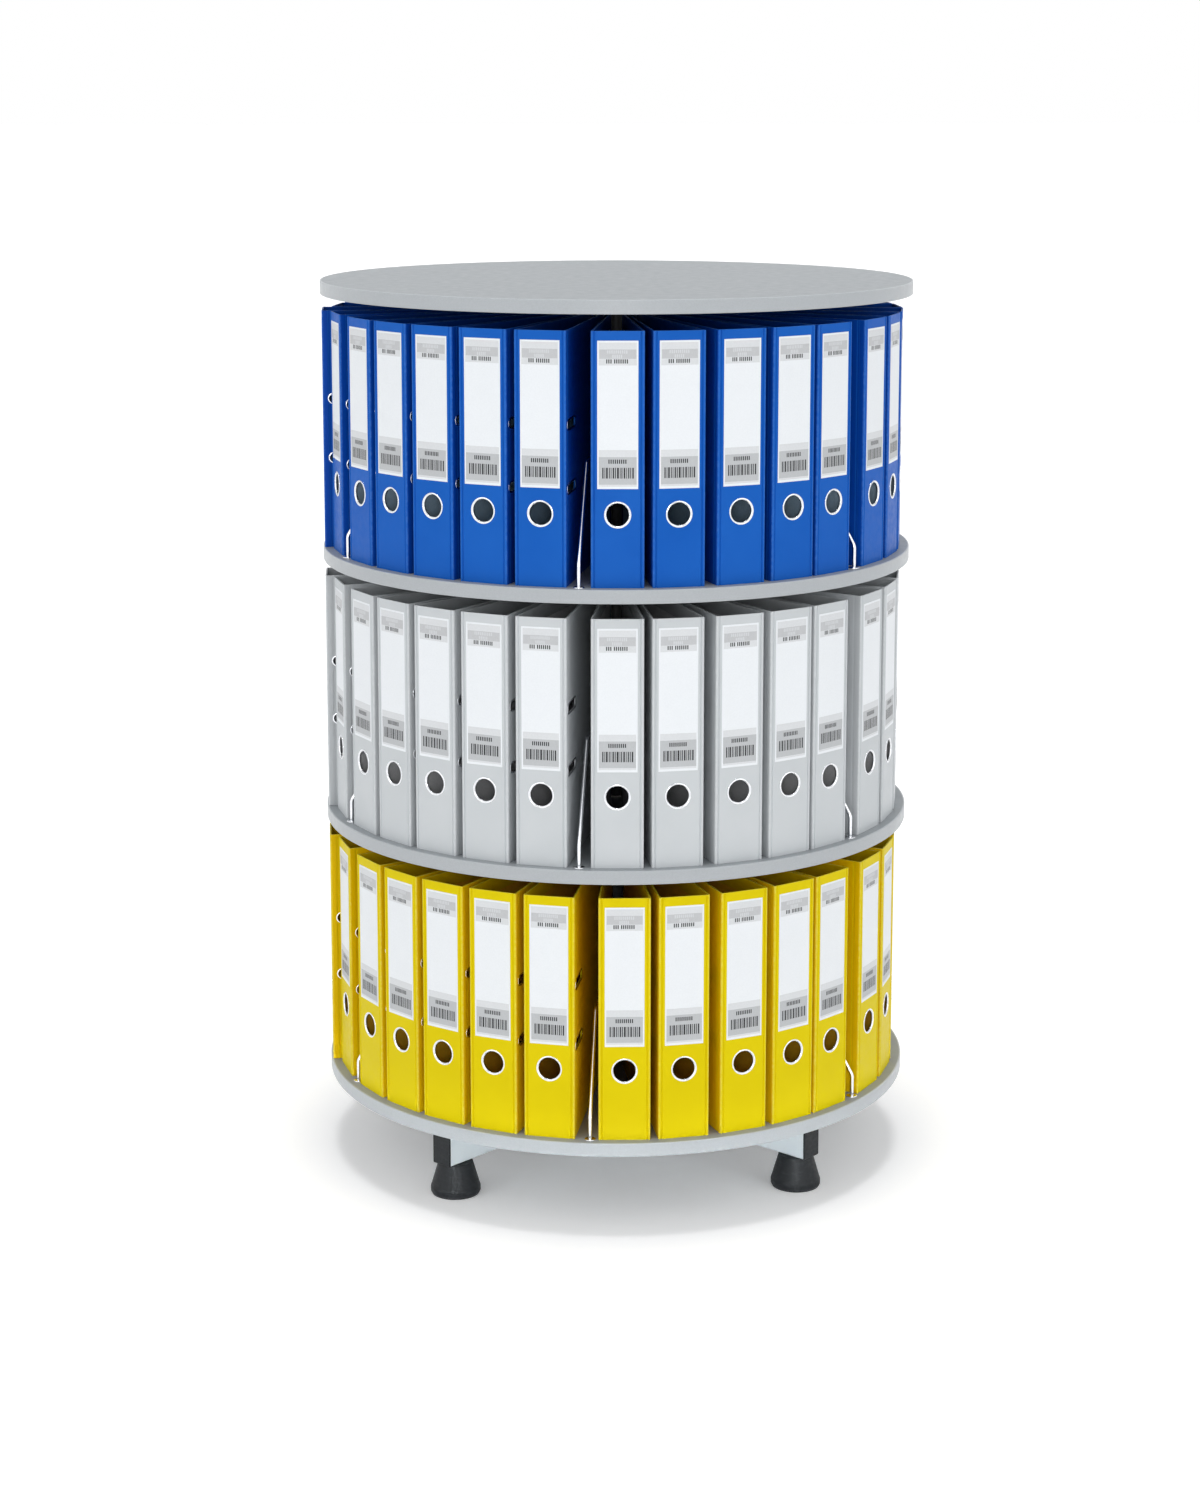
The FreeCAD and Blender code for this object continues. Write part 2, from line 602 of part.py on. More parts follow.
def make_dividers(tier, height, turn):
    """Bent wire brackets between the bays, and the ferrules that dress their front legs."""
    floor = size("board_thickness")
    toe = value_of("derived.toe_reach")
    kink, top = floor + size("toe_height"), floor + size("divider_height")
    crest = toe - (top - kink) * math.tan(math.radians(size("leg_slope")))
    heel, root = size("heel_reach"), floor - size("wire_depth")
    corners = [Vector(toe, 0, root), Vector(toe, 0, kink), Vector(crest, 0, top),
               Vector(heel, 0, top), Vector(heel, 0, root)]
    path = bent_path(corners, [size("toe_bend"), size("wire_bend"), size("wire_bend")])
    section = Part.Wire(Part.makeCircle(size("wire") / 2, corners[0], Vector(0, 0, 1)))
    wire = path.makePipeShell([section], True, True)
    count = round(size("bay_count"))
    shelf, first = value_of(height), value_of(turn)
    steps = [first + 360 / count * index for index in range(count)]
    group(f"{tier}_dividers", [turned(wire, step, shelf) for step in steps])
    ferrules = new_body(f"{tier}_divider_ferrules")
    ferrule = pad_round(ferrules, "ferrule", "sizes.ferrule_diameter", "sizes.board_thickness",
                        "sizes.ferrule_height", "sizes.wire + 2 * sizes.seat_gap",
                        "derived.toe_reach")
    repeat_round(ferrules, "ring", [ferrule], "sizes.bay_count")
    sub_part(place(ferrules, height, turn), f"{tier}_divider_ferrules")


# ---------------------------------------------------------------- files

def make_file_patterns():
    """The pieces of one file, its middle plane along +X, with heights from the shelf."""
    face, back, fore = "derived.spine_face", "derived.spine_back", "derived.fore_edge"
    half, fore_half = "sizes.spine_width / 2", "derived.fore_edge_width / 2"
    chamfer = "sizes.spine_chamfer"
    spine = new_body("spine_pattern")
    pad_outline(spine, "board", "XY_Plane", "0", "sizes.file_height", [
        (back, f"-{half}"), (f"{face} - {chamfer}", f"-{half}"), (face, f"-{half} + {chamfer}"),
        (face, f"{half} - {chamfer}"), (f"{face} - {chamfer}", half), (back, half)])
    hole = new_sketch(spine, "finger_hole_outline", "YZ_Plane", back)
    add_circle(hole, "sizes.finger_hole + 2 * sizes.ring_metal + 2 * sizes.seat_gap",
               "0", "sizes.finger_height")
    cut(spine, "finger_hole", hole, "sizes.file_board", reversed_way=True)
    covers = new_body("cover_pattern")
    for side, sign in (("right", ""), ("left", "-")):
        pad_outline(covers, side, "XY_Plane", "0", "sizes.file_height", [
            (back, f"{sign}({half})"), (fore, f"{sign}({fore_half})"),
            (fore, f"{sign}({fore_half} - sizes.file_board)"),
            (back, f"{sign}({half} - sizes.file_board)")])
    label = new_body("label_pattern")
    edge = "sizes.label_width / 2"
    low, high = "sizes.label_bottom", "sizes.file_height - sizes.label_top_gap"
    pad_outline(label, "card", "YZ_Plane", face, "sizes.label_card",
                [(f"-{edge}", low), (edge, low), (edge, high), (f"-{edge}", high)])
    ring = new_body("finger_ring_pattern")
    hole_edge, metal = "sizes.finger_hole / 2", "sizes.ring_metal"
    revolve(ring, "eyelet", [
        (hole_edge, "-sizes.file_board"), (f"{hole_edge} + {metal}", "-sizes.file_board"),
        (f"{hole_edge} + {metal}", "0"), ("sizes.finger_rim / 2", "0"),
        ("sizes.finger_rim / 2", metal), (hole_edge, metal)])
    doc.recompute()
    to_spine = Placement(Vector(value_of(face), 0, size("finger_height")), Rotation(Vector(0, 1, 0), 90))
    eyelet = ring.Shape.copy()
    eyelet.Placement = to_spine * eyelet.Placement
    return {"spines": spine.Shape, "covers": covers.Shape, "labels": label.Shape, "finger_rings": eyelet}


def file_places(tier):
    """Angle from the front and reach beyond the even line of each file, by bay and place in the bay."""
    bay_angle = 360 / round(size("bay_count"))
    pitch = 2 * math.degrees(math.atan(value_of("derived.file_splay") / 2))
    push = math.degrees(math.atan(value_of("(sizes.fore_edge_gap - sizes.pushed_gap) / derived.fore_edge")))
    divider_angle = math.degrees(math.atan(value_of("sizes.divider_room / derived.spine_face")))
    per_bay = int((bay_angle - divider_angle) / pitch)
    places = {}
    for bay in range(round(size("bay_count"))):
        middle = size(f"{tier}_turn") + size(f"{tier}_lean") + bay_angle * (bay + 0.5)
        for place_in_bay in range(per_bay):
            spot = (bay, place_in_bay)
            angle = middle + (place_in_bay - (per_bay - 1) / 2) * pitch
            places[spot] = (angle + (push if spot in PUSHED_PLACES else 0),
                            size("proud_reach") if spot == PROUD_PLACE else 0)
    return places


def shelved(shape, angle, reach, height):
    """Copy of a file's piece that stands at an angle from the front, `reach` beyond the even line."""
    copy = shape.copy()
    copy.Placement = Placement(Vector(reach, 0, 0), Rotation()) * copy.Placement
    return turned(copy, angle - 90, height)


def make_files(tier, pieces):
    """All files of one tier; the one that pulls out has sub-parts of its own."""
    shelf_top = value_of(f"derived.{tier}_shelf + sizes.board_thickness")
    places = file_places(tier)
    if tier == PULL_OUT_TIER:
        own_place = places.pop(PULL_OUT_PLACE)
        boards = [shelved(pieces[name], *own_place, shelf_top) for name in ("spines", "covers")]
        group("front_file_boards", boards)
        group("front_file_label", [shelved(pieces["labels"], *own_place, shelf_top)])
        group("front_file_finger_ring", [shelved(pieces["finger_rings"], *own_place, shelf_top)])
    for name, shape in pieces.items():
        group(f"{tier}_file_{name}", [shelved(shape, *stand, shelf_top) for stand in places.values()])


# ---------------------------------------------------------------- assembly

def check_model():
    """Stop at any failed feature and any sub-part without a sound shape."""
    for item in doc.Objects:
        if "Invalid" in item.State or "Error" in item.State:
            raise RuntimeError(f"{item.Label}: {item.State}")
    for piece in sub_parts:
        if piece.Shape.isNull() or not piece.Shape.isValid() or not piece.Shape.Solids:
            raise RuntimeError(f"{piece.Label}: unsound shape")


def write_parts():
    os.makedirs("parts", exist_ok=True)
    for piece in sub_parts:
        piece.Shape.exportStep(f"parts/{piece.Label}.step")


fill_sheets()
make_arms()
make_arm_caps()
make_foot_inserts()
make_socket()
for foot_name, foot_angle in FEET:
    make_foot(foot_name, foot_angle)
make_column()
make_collars()
make_lower_races()
make_top()
for tier_name in TIERS:
    make_tier(tier_name)
file_pieces = make_file_patterns()
for tier_name in TIERS:
    make_files(tier_name, file_pieces)
doc.recompute()
check_model()
write_parts()
print(len(sub_parts), "sub-parts,", sum(len(piece.Shape.Solids) for piece in sub_parts), "solids")
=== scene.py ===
import json
import math
import random
import bmesh
import bpy
from mathutils import Matrix, Vector


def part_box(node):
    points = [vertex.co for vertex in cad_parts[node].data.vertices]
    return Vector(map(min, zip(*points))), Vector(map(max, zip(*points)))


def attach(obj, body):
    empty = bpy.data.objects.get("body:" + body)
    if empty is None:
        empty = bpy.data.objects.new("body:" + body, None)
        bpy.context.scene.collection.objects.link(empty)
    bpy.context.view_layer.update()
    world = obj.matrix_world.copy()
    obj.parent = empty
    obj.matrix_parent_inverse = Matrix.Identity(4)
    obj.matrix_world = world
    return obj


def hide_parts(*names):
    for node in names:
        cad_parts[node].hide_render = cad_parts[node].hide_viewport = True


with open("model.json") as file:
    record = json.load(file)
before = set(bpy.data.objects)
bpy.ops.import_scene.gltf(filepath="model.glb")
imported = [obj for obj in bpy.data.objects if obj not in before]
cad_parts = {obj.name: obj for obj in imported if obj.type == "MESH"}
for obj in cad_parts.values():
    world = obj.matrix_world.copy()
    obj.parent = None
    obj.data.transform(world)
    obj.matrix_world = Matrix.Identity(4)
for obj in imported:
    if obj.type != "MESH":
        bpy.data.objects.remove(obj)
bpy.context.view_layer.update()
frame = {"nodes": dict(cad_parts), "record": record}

# Rotary filing cabinet: the visible pieces, their materials, the studio and the camera.
# Lengths are in metres.  An angle of a piece is counted in degrees from the front (-Y) towards +X.

MM = 0.001
TIERS = ("lower", "middle", "upper")
SHARP_ANGLE = math.radians(40)
WELD_DISTANCE = 1e-7

# Places that come from the frame
BOARD_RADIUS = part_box("top_edge_band")[1].x
BOARD_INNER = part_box("top_board")[1].x
BOARD_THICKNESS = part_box("top_board")[1].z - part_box("top_board")[0].z
TOTAL_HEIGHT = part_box("top_edge_band")[1].z
SHELF_TOP = {tier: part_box(f"{tier}_shelf")[1].z for tier in TIERS}
ARM_LOW, ARM_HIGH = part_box("base_socket")[0].z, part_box("base_socket")[1].z
COLUMN_LOW, COLUMN_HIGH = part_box("column")[0].z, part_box("column")[1].z
COLUMN_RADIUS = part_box("column")[1].x

# Boards
EDGE_ROUND, BOARD_EASE, BOARD_SIDES = 1.2 * MM, 0.15 * MM, 240
SHELF_BORE = 17.3 * MM

# Foot and column
FOOT_REACH, ARM_REACH = 323 * MM, 350 * MM
ARM_WIDTH, ARM_CORNER, SOCKET_HALF = 30 * MM, 3 * MM, 30 * MM
CAP_FLANGE, CAP_EASE = 3 * MM, 0.7 * MM
CAP_ROUND_LOW, CAP_ROUND_HIGH = 2.6 * MM, 1.4 * MM
CONE_TOP, CONE_RIM, CONE_SOLE, CONE_BORE = 23 * MM, 33.3 * MM, 31.5 * MM, 5.05 * MM
SHOULDER_HEIGHT, SHOULDER_SETBACK, SHOULDER_ROUND = 12.6 * MM, 1.2 * MM, 4 * MM
RIM_HEIGHT, SKIRT_HEIGHT, CONE_ROUND, SOLE_ROUND = 9.5 * MM, 3.6 * MM, 1.2 * MM, 0.6 * MM
SKIRT_INSET, SKIRT_DROP = 0.3 * MM, 0.4 * MM
THREAD_PITCH = 1.5 * MM
COLUMN_BORE, COLUMN_ROUND_LOW, COLUMN_ROUND_HIGH = 10.5 * MM, 0.8 * MM, 0.5 * MM
FEET = {"front_right": 45, "rear_right": 135, "rear_left": 225, "front_left": 315}

# First divider of each tier, turn of its files within their bays, and the files' spacing, in degrees
FIRST_DIVIDER = {"lower": -8.45, "middle": -10.5, "upper": -10.5}
FILE_SHIFT = {"lower": -0.65, "middle": 0.0, "upper": 0.0}
BAYS, FILES_PER_BAY, FILE_PITCH = 6, 5, 11.4

# Files out of the even line on every tier, as (bay, place in the bay), both counted from 0: two are
# turned about the column, by PUSH in degrees, and one stands out
PUSHED_PLACES, PUSH = ((0, 2), (0, 3)), 0.796
PROUD_PLACE, PROUD_REACH = (4, 3), 11 * MM

# Divider and its ferrule
WIRE_RADIUS, TOE_BEND, CREST_BEND = 2.5 * MM, 12 * MM, 9 * MM
TOE_REACH, HEEL_REACH = BOARD_RADIUS - 15 * MM, 150 * MM
TOE_HEIGHT, DIVIDER_HEIGHT, LEG_SLOPE, WIRE_DEPTH = 29 * MM, 150 * MM, 32.7, 10 * MM
FERRULE_BORE, FERRULE_RADIUS, FERRULE_COLLAR = 2.6 * MM, 7.25 * MM, 3.6 * MM
FERRULE_RIM, FERRULE_TOP, FERRULE_THROAT = 1.0 * MM, 1.9 * MM, 1.5 * MM
FERRULE_ROUND = 0.8 * MM

# Case of a file; TURN_IN is how far its foil goes round the edges to the inside
PULL_OUT_TIER = "upper"
FILE_HEIGHT, FILE_DEPTH, FILE_BOARD = 320 * MM, 285 * MM, 2.2 * MM
SPINE_FACE = BOARD_RADIUS - 13.5 * MM
SPINE_HALF, FORE_HALF = 33.45 * MM, 9.2 * MM
SPINE_ROUND, INNER_ROUND, FILE_EASE = 2.1 * MM, 1.2 * MM, 0.4 * MM
TURN_IN = 20 * MM
# Grooves in mm: (from the spine's middle, depth), and (behind the spine's face, depth)
CREASE_GROOVE = ((27.5, 0), (28.0, 0.3), (28.7, 1.35), (29.3, 1.35), (30.0, 0.3), (30.5, 0))
HINGE_GROOVE = ((8.0, 0), (8.9, 0.55), (11.1, 0.55), (12.0, 0))

# Finger hole with its ring, and the slots in the covers
FINGER_HEIGHT, FINGER_BORE, FINGER_RIM = 92 * MM, 14 * MM, 17 * MM
FINGER_AXIS = Matrix.Translation((SPINE_FACE, 0, FINGER_HEIGHT)) @ Matrix.Rotation(math.pi / 2, 4, "Y")
RING_WALL, RING_THROAT, RING_LIP = 0.8 * MM, 0.5 * MM, 0.5 * MM
RING_CREST, RING_HEIGHT = 1.4 * MM, 0.9 * MM
RING_ROUNDS = (1.1 * MM, 0.9 * MM, 0.6 * MM)
SLOT_HEIGHTS = (122 * MM, 202 * MM)
SLOT_INSET, SLOT_LENGTH, SLOT_WIDTH, SLOT_RIM = 8 * MM, 58 * MM, 13 * MM, 1.25 * MM
HOLE_CUT, SLOT_CUT, SLOT_STEPS = 5 * MM, 4 * MM, 10

# Label, and what is printed on it, in mm from its left edge and down from its top
LABEL_WIDTH, LABEL_LOW, LABEL_HIGH = 50.6 * MM, 124.5 * MM, 308 * MM
LABEL_CARD, LABEL_SEAT = 0.3 * MM, 0.02 * MM
PLAIN, HEADER, STRIPE, BOX, INK, FAINT = range(6)
ZONES = (
    # left, right, top, bottom, print
    (1.9, 48.7, 2.3, 30.4, HEADER),
    (2.6, 48.0, 10.8, 22.2, STRIPE),
    (1.9, 48.7, 135.0, 143.8, HEADER),
    (1.9, 48.7, 143.8, 178.0, BOX),
    (1.9, 48.7, 178.0, 180.5, HEADER),
)
WORDS = (
    # left, number of ticks, top, bottom, print
    (12.2, 10, 11.7, 15.9, FAINT),
    (18.6, 5, 17.3, 21.5, FAINT),
    (11.0, 3, 22.9, 28.0, INK),
    (20.7, 7, 22.9, 28.0, INK),
    (13.8, 9, 146.8, 152.0, INK),
)
TICK, TICK_STEP = 1.5, 2.6
BARS_LEFT, BARS_TOP, BARS_BOTTOM = 6.2, 157.0, 170.4
# Bars, as (width, gap to the next)
BARS = ((1.6, 1.2), (0.9, 1.0), (2.2, 1.4), (1.1, 1.1), (0.9, 1.5), (1.8, 1.0), (1.2, 1.3), (2.4, 1.2),
        (0.9, 1.0), (1.3, 1.5), (2.0, 1.2), (0.9, 1.4), (1.5, 1.1), (1.1, 1.4), (1.9, 0.0))

# Camera: the photo's was level with a large shift, this one is pitched and needs a small one
CAMERA_AZIMUTH, CAMERA_YAW, CAMERA_PITCH = -3.5, -0.237, 9.243
CAMERA_DISTANCE, CAMERA_HEIGHT, CAMERA_ASIDE = 3.9386, 1.4645, -0.0058
CAMERA_LENS, CAMERA_SENSOR, CAMERA_SHIFT = 69.653, 36, -0.13

# Studio; a level of 1 shows a surface that faces the light as its colour is written
AMBIENT = 0.49
FLOOR_SIZE, FLOOR_THICKNESS, FLOOR_GLOW, FLOOR_GREYS = 200, 0.01, 0.165, (0.89, 0.91)
KEY_LEVEL, KEY_SPREAD, KEY_RISE, KEY_ASIDE = 0.18, 60, 28, 50
OVERHEAD_LEVEL, OVERHEAD_SPREAD, OVERHEAD_FROM = 0.38, 18, (0.0, 0.09, 4.0)
FRONT_DISTANCE, FRONT_HEIGHT, FRONT_TARGET = 4.6, 1.4, 0.6
FRONT_SIZE, FRONT_POWER = (0.8, 1.2), 18
LOW_DISTANCE, LOW_HEIGHT, LOW_SIZE = 2.6, 0.06, (2.6, 0.12)
LOW_POWER, LOW_SPREAD, LOW_TINT = 0.6, 4, (0.9, 0.97, 1.0)


# ---------------------------------------------------------------- shapes

def direction(angle):
    """Unit vector on the floor at an angle from the front."""
    turn = math.radians(angle)
    return Vector((math.sin(turn), -math.cos(turn), 0))


def turn_to(angle):
    """Turns a shape whose outward side is +X to an angle from the front."""
    return Matrix.Rotation(math.radians(angle - 90), 4, "Z")


def lift(height):
    return Matrix.Translation((0, 0, height))


def rounded(points, closed=False, steps=5):
    """Points of a line whose corners (x, y, z, radius) become arcs; a radius of 0 keeps the corner."""
    line = []
    for index, (*place, radius) in enumerate(points):
        corner = Vector(place)
        if radius == 0 or (not closed and index in (0, len(points) - 1)):
            line.append(corner)
            continue
        before = (Vector(points[index - 1][:3]) - corner).normalized()
        after = (Vector(points[(index + 1) % len(points)][:3]) - corner).normalized()
        half_angle = before.angle(after) / 2
        reach = radius / math.tan(half_angle)
        centre = corner + (before + after).normalized() * (radius / math.sin(half_angle))
        start, end = corner + before * reach - centre, corner + after * reach - centre
        line += [centre + radius * start.slerp(end, step / steps).normalized() for step in range(steps + 1)]
    return line


def add_object(name, data):
    item = bpy.data.objects.new(name, data)
    bpy.context.scene.collection.objects.link(item)
    return item


def shade_smooth(mesh):
    """Smooth shading apart from the mesh's sharp edges."""
    mesh.polygons.foreach_set("use_smooth", [True] * len(mesh.polygons))
    mesh.set_sharp_from_angle(angle=SHARP_ANGLE)


def to_mesh(name, shape):
    """Mesh of a bmesh, which is used up."""
    mesh = bpy.data.meshes.new(name)
    shape.to_mesh(mesh)
    shape.free()
    return mesh


def new_mesh(name, fill):
    """Mesh that the function `fill` builds in a bmesh."""
    shape = bmesh.new()
    fill(shape)
    bmesh.ops.remove_doubles(shape, verts=shape.verts, dist=WELD_DISTANCE)
    bmesh.ops.recalc_face_normals(shape, faces=shape.faces)
    mesh = to_mesh(name, shape)
    shade_smooth(mesh)
    return mesh


def ring_faces(shape, rings, closed):
    """Faces between each ring of vertices and the next; a ring of one vertex is a pole."""
    pairs = list(zip(rings, rings[1:])) + ([(rings[-1], rings[0])] if closed else [])
    for first, second in pairs:
        for side in range(max(len(first), len(second))):
            corners = [first[side % len(first)], first[(side + 1) % len(first)],
                       second[(side + 1) % len(second)], second[side % len(second)]]
            corners = list(dict.fromkeys(corners))
            if len(corners) > 2:
                shape.faces.new(corners)


def circle_angles(sides):
    return [2 * math.pi * side / sides for side in range(sides)]


def lathe(name, profile, sides=96, closed=False):
    """Surface of revolution about Z; the profile's corners are (radius, height, rounding)."""
    line = rounded([(radius, 0, height, rounding) for radius, height, rounding in profile], closed)

    def fill(shape):
        rings = []
        for point in line:
            angles = circle_angles(sides) if point.x > WELD_DISTANCE else [0]
            rings.append([shape.verts.new((point.x * math.cos(angle), point.x * math.sin(angle), point.z))
                          for angle in angles])
        ring_faces(shape, rings, closed)
    return new_mesh(name, fill)


def prism(name, outline, along):
    """Closed outline, extruded by a vector."""
    def fill(shape):
        face = shape.faces.new([shape.verts.new(point) for point in outline])
        made = bmesh.ops.extrude_face_region(shape, geom=[face])
        moved = [item for item in made["geom"] if isinstance(item, bmesh.types.BMVert)]
        bmesh.ops.translate(shape, verts=moved, vec=along)
    return new_mesh(name, fill)


def tube(name, line, radius, across, closed=False, sides=18, flat=1.0):
    """Round bar along a line that lies in the plane square to `across`; `flat` scales it along `across`."""
    def fill(shape):
        rings = []
        count = len(line)
        for index, point in enumerate(line):
            if closed:
                ahead = line[(index + 1) % count] - line[index - 1]
            else:
                ahead = line[min(index + 1, count - 1)] - line[max(index - 1, 0)]
            outward = ahead.normalized().cross(across)
            rings.append([shape.verts.new(
                point + radius * (outward * math.cos(angle) + across * flat * math.sin(angle)))
                for angle in circle_angles(sides)])
        ring_faces(shape, rings, closed)
        if not closed:
            shape.faces.new(rings[0])
            shape.faces.new(rings[-1])
    return new_mesh(name, fill)


def worked(mesh, softened=0.0, cutters=(), limit=60):
    """The mesh with its edges sharper than `limit` softened and the cutters taken away."""
    item = add_object(mesh.name, mesh)
    if softened:
        bevel = item.modifiers.new("edges", "BEVEL")
        bevel.width, bevel.segments = softened, 2
        bevel.limit_method, bevel.angle_limit = "ANGLE", math.radians(limit)
    helpers = []
    for cutter in cutters:
        helper = add_object(cutter.name, cutter)
        helpers.append(helper)
        hole = item.modifiers.new("hole", "BOOLEAN")
        hole.operation, hole.solver, hole.object = "DIFFERENCE", "EXACT", helper
    depsgraph = bpy.context.evaluated_depsgraph_get()
    result = bpy.data.meshes.new_from_object(item.evaluated_get(depsgraph))
    for used in [item] + helpers:
        bpy.data.objects.remove(used)
    result.name = mesh.name
    shade_smooth(result)
    return result


def merged(name, parts):
    """One mesh of many: each part is (mesh, matrix, tone), and its faces keep the tone as an attribute."""
    shape = bmesh.new()
    tone_layer = shape.faces.layers.float.new("tone")
    for mesh, matrix, tone in parts:
        first_vert, first_face = len(shape.verts), len(shape.faces)
        shape.from_mesh(mesh)
        shape.verts.ensure_lookup_table()
        shape.faces.ensure_lookup_table()
        bmesh.ops.transform(shape, matrix=matrix, verts=shape.verts[first_vert:])
        for face in shape.faces[first_face:]:
            face[tone_layer] = tone
    return to_mesh(name, shape)


def piece(name, mesh, materials, body, slot, *nodes):
    """Finished piece on its body, in place of the CAD nodes it stands for."""
    item = add_object(name, mesh)
    for material in materials:
        mesh.materials.append(material)
    even = item.modifiers.new("normals", "WEIGHTED_NORMAL")
    even.keep_sharp = True
    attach(item, body)
    if nodes:
        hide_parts(*nodes)
    return item


# ---------------------------------------------------------------- materials

class Surface:
    """Principled material under construction; every pattern follows the piece's own coordinates."""

    def __init__(self, name, roughness, metallic=0.0, **sockets):
        self.material = bpy.data.materials.new(name)
        self.material.use_nodes = True
        self.tree = self.material.node_tree
        self.shader = self.tree.nodes["Principled BSDF"]
        self.place = self.tree.nodes.new("ShaderNodeTexCoord").outputs["Object"]
        self.shader.inputs["Roughness"].default_value = roughness
        self.shader.inputs["Metallic"].default_value = metallic
        for socket, value in sockets.items():
            self.shader.inputs[socket.replace("_", " ")].default_value = value
        self.relief = None

    def node(self, kind, inputs=(), **settings):
        """Shader node with its settings made and its inputs set or linked."""
        made = self.tree.nodes.new("ShaderNode" + kind)
        for setting, value in settings.items():
            setattr(made, setting, value)
        for socket, value in dict(inputs).items():
            target = made.inputs[socket]
            if isinstance(value, bpy.types.NodeSocket):
                self.tree.links.new(value, target)
            else:
                target.default_value = value
        return made

    def noise(self, size, detail=3.0, stretch=(1, 1, 1)):
        """Noise whose blotches are about `size` across, longer where a stretch is over 1."""
        scale = [1 / (size * factor) for factor in stretch]
        place = self.node("Mapping", {"Vector": self.place, "Scale": scale}).outputs[0]
        return self.node("TexNoise", {"Vector": place, "Scale": 1.0, "Detail": detail}).outputs[0]

    def attribute(self, name):
        return self.node("Attribute", attribute_name=name).outputs["Fac"]

    def ramp(self, value, low, high, to_low=0.0, to_high=1.0):
        """The value's span from low to high, stretched to another span and clamped there."""
        return self.node("MapRange", {"Value": value, "From Min": low, "From Max": high,
                                      "To Min": to_low, "To Max": to_high}).outputs[0]

    def mix(self, factor, first, second):
        """Colour between the first and the second; the node's sockets 6, 7 and 2 are its colour ones."""
        return self.node("Mix", {0: factor, 6: first, 7: second}, data_type="RGBA").outputs[2]

    def colour(self, value):
        self.tree.links.new(value, self.shader.inputs["Base Color"])
        return self

    def rough(self, value):
        self.tree.links.new(value, self.shader.inputs["Roughness"])
        return self

    def bump(self, value, depth):
        """Adds relief on top of the last one; `depth` is its full height in metres."""
        inputs = {"Height": value, "Strength": 1.0, "Distance": depth}
        if self.relief is not None:
            inputs["Normal"] = self.relief
        self.relief = self.node("Bump", inputs).outputs[0]
        self.tree.links.new(self.relief, self.shader.inputs["Normal"])
        return self


def linear(red, green, blue):
    """Colour of 0-255 display values (sRGB) as the shader wants it."""
    shown = [value / 255 for value in (red, green, blue)]
    return [value / 12.92 if value <= 0.04045 else ((value + 0.055) / 1.055) ** 2.4
            for value in shown] + [1.0]


def laminate():
    """Melamine-faced board: pale grey with a fine pebbled print and texture."""
    look = Surface("board_laminate", 0.42, Specular_IOR_Level=0.1)
    print_mix = look.ramp(look.noise(1.6 * MM, 4.0), 0.35, 0.65)
    fine = look.mix(print_mix, linear(151, 156, 160), linear(157, 162, 166))
    cloud = look.ramp(look.noise(90 * MM, 2.0), 0.3, 0.7)
    look.colour(look.mix(cloud, fine, linear(154, 159, 163)))
    look.rough(look.ramp(look.noise(14 * MM, 3.0), 0.3, 0.7, 0.36, 0.48))
    return look.bump(look.noise(0.7 * MM, 3.0), 0.04 * MM).material


def edge_band():
    """Plastic edge band: satin, with a faint print, painted a shade lighter than the board for the light on
    the front edges.
    """
    look = Surface("edge_band", 0.35)
    look.colour(look.mix(look.ramp(look.noise(2.2 * MM, 3.0, (1, 1, 0.5)), 0.35, 0.65),
                         linear(172, 177, 181), linear(178, 183, 187)))
    look.rough(look.ramp(look.noise(9 * MM), 0.3, 0.7, 0.3, 0.42))
    return look.bump(look.noise(0.6 * MM, 2.0), 0.025 * MM).material


def powder_coat(name, dark, light, gloss):
    """Powder-coated steel with its orange-peel surface."""
    look = Surface(name, gloss)
    look.colour(look.mix(look.ramp(look.noise(45 * MM, 3.0), 0.3, 0.7), dark, light))
    look.rough(look.ramp(look.noise(6 * MM), 0.3, 0.7, gloss - 0.06, gloss + 0.08))
    look.bump(look.noise(1.5 * MM, 1.0), 0.05 * MM)
    return look.bump(look.noise(0.35 * MM, 2.0), 0.012 * MM).material


def moulded_plastic(name, dark, light, gloss):
    """Moulded plastic with a fine eroded grain and faint scuffs."""
    look = Surface(name, gloss, Specular_IOR_Level=0.3)
    scuffs = look.ramp(look.noise(11 * MM, 6.0, (1, 1, 0.4)), 0.52, 0.72)
    look.colour(look.mix(scuffs, dark, light))
    look.rough(look.ramp(look.noise(4 * MM, 4.0), 0.3, 0.7, gloss - 0.07, gloss + 0.1))
    return look.bump(look.noise(0.5 * MM, 3.0), 0.05 * MM).material


def bright_metal(name, dark, light, gloss, brush=(1, 1, 1), grain=4 * MM, relief=0.006 * MM):
    """Plated or ground metal; `brush` stretches its fine lines."""
    look = Surface(name, gloss, metallic=1.0)
    look.colour(look.mix(look.ramp(look.noise(grain, 4.0, brush), 0.3, 0.7), dark, light))
    look.rough(look.ramp(look.noise(grain * 0.7, 5.0, brush), 0.3, 0.7, gloss * 0.7, gloss * 1.5))
    return look.bump(look.noise(grain * 0.25, 3.0, brush), relief).material


def threaded_steel():
    """Zinc-plated thread, its ridges as relief along the stud's axis."""
    look = Surface("threaded_steel", 0.35, metallic=1.0)
    wave_radians = 20  # that a wave texture of scale 1 runs through in one metre
    scale = 2 * math.pi / (wave_radians * THREAD_PITCH)
    ridges = look.node("TexWave", {"Vector": look.place, "Scale": scale},
                       wave_type="BANDS", bands_direction="Z").outputs["Fac"]
    look.colour(look.mix(look.ramp(ridges, 0.0, 1.0), linear(96, 97, 100), linear(188, 190, 194)))
    look.rough(look.ramp(look.noise(3 * MM), 0.3, 0.7, 0.28, 0.45))
    return look.bump(ridges, 0.6 * MM).material


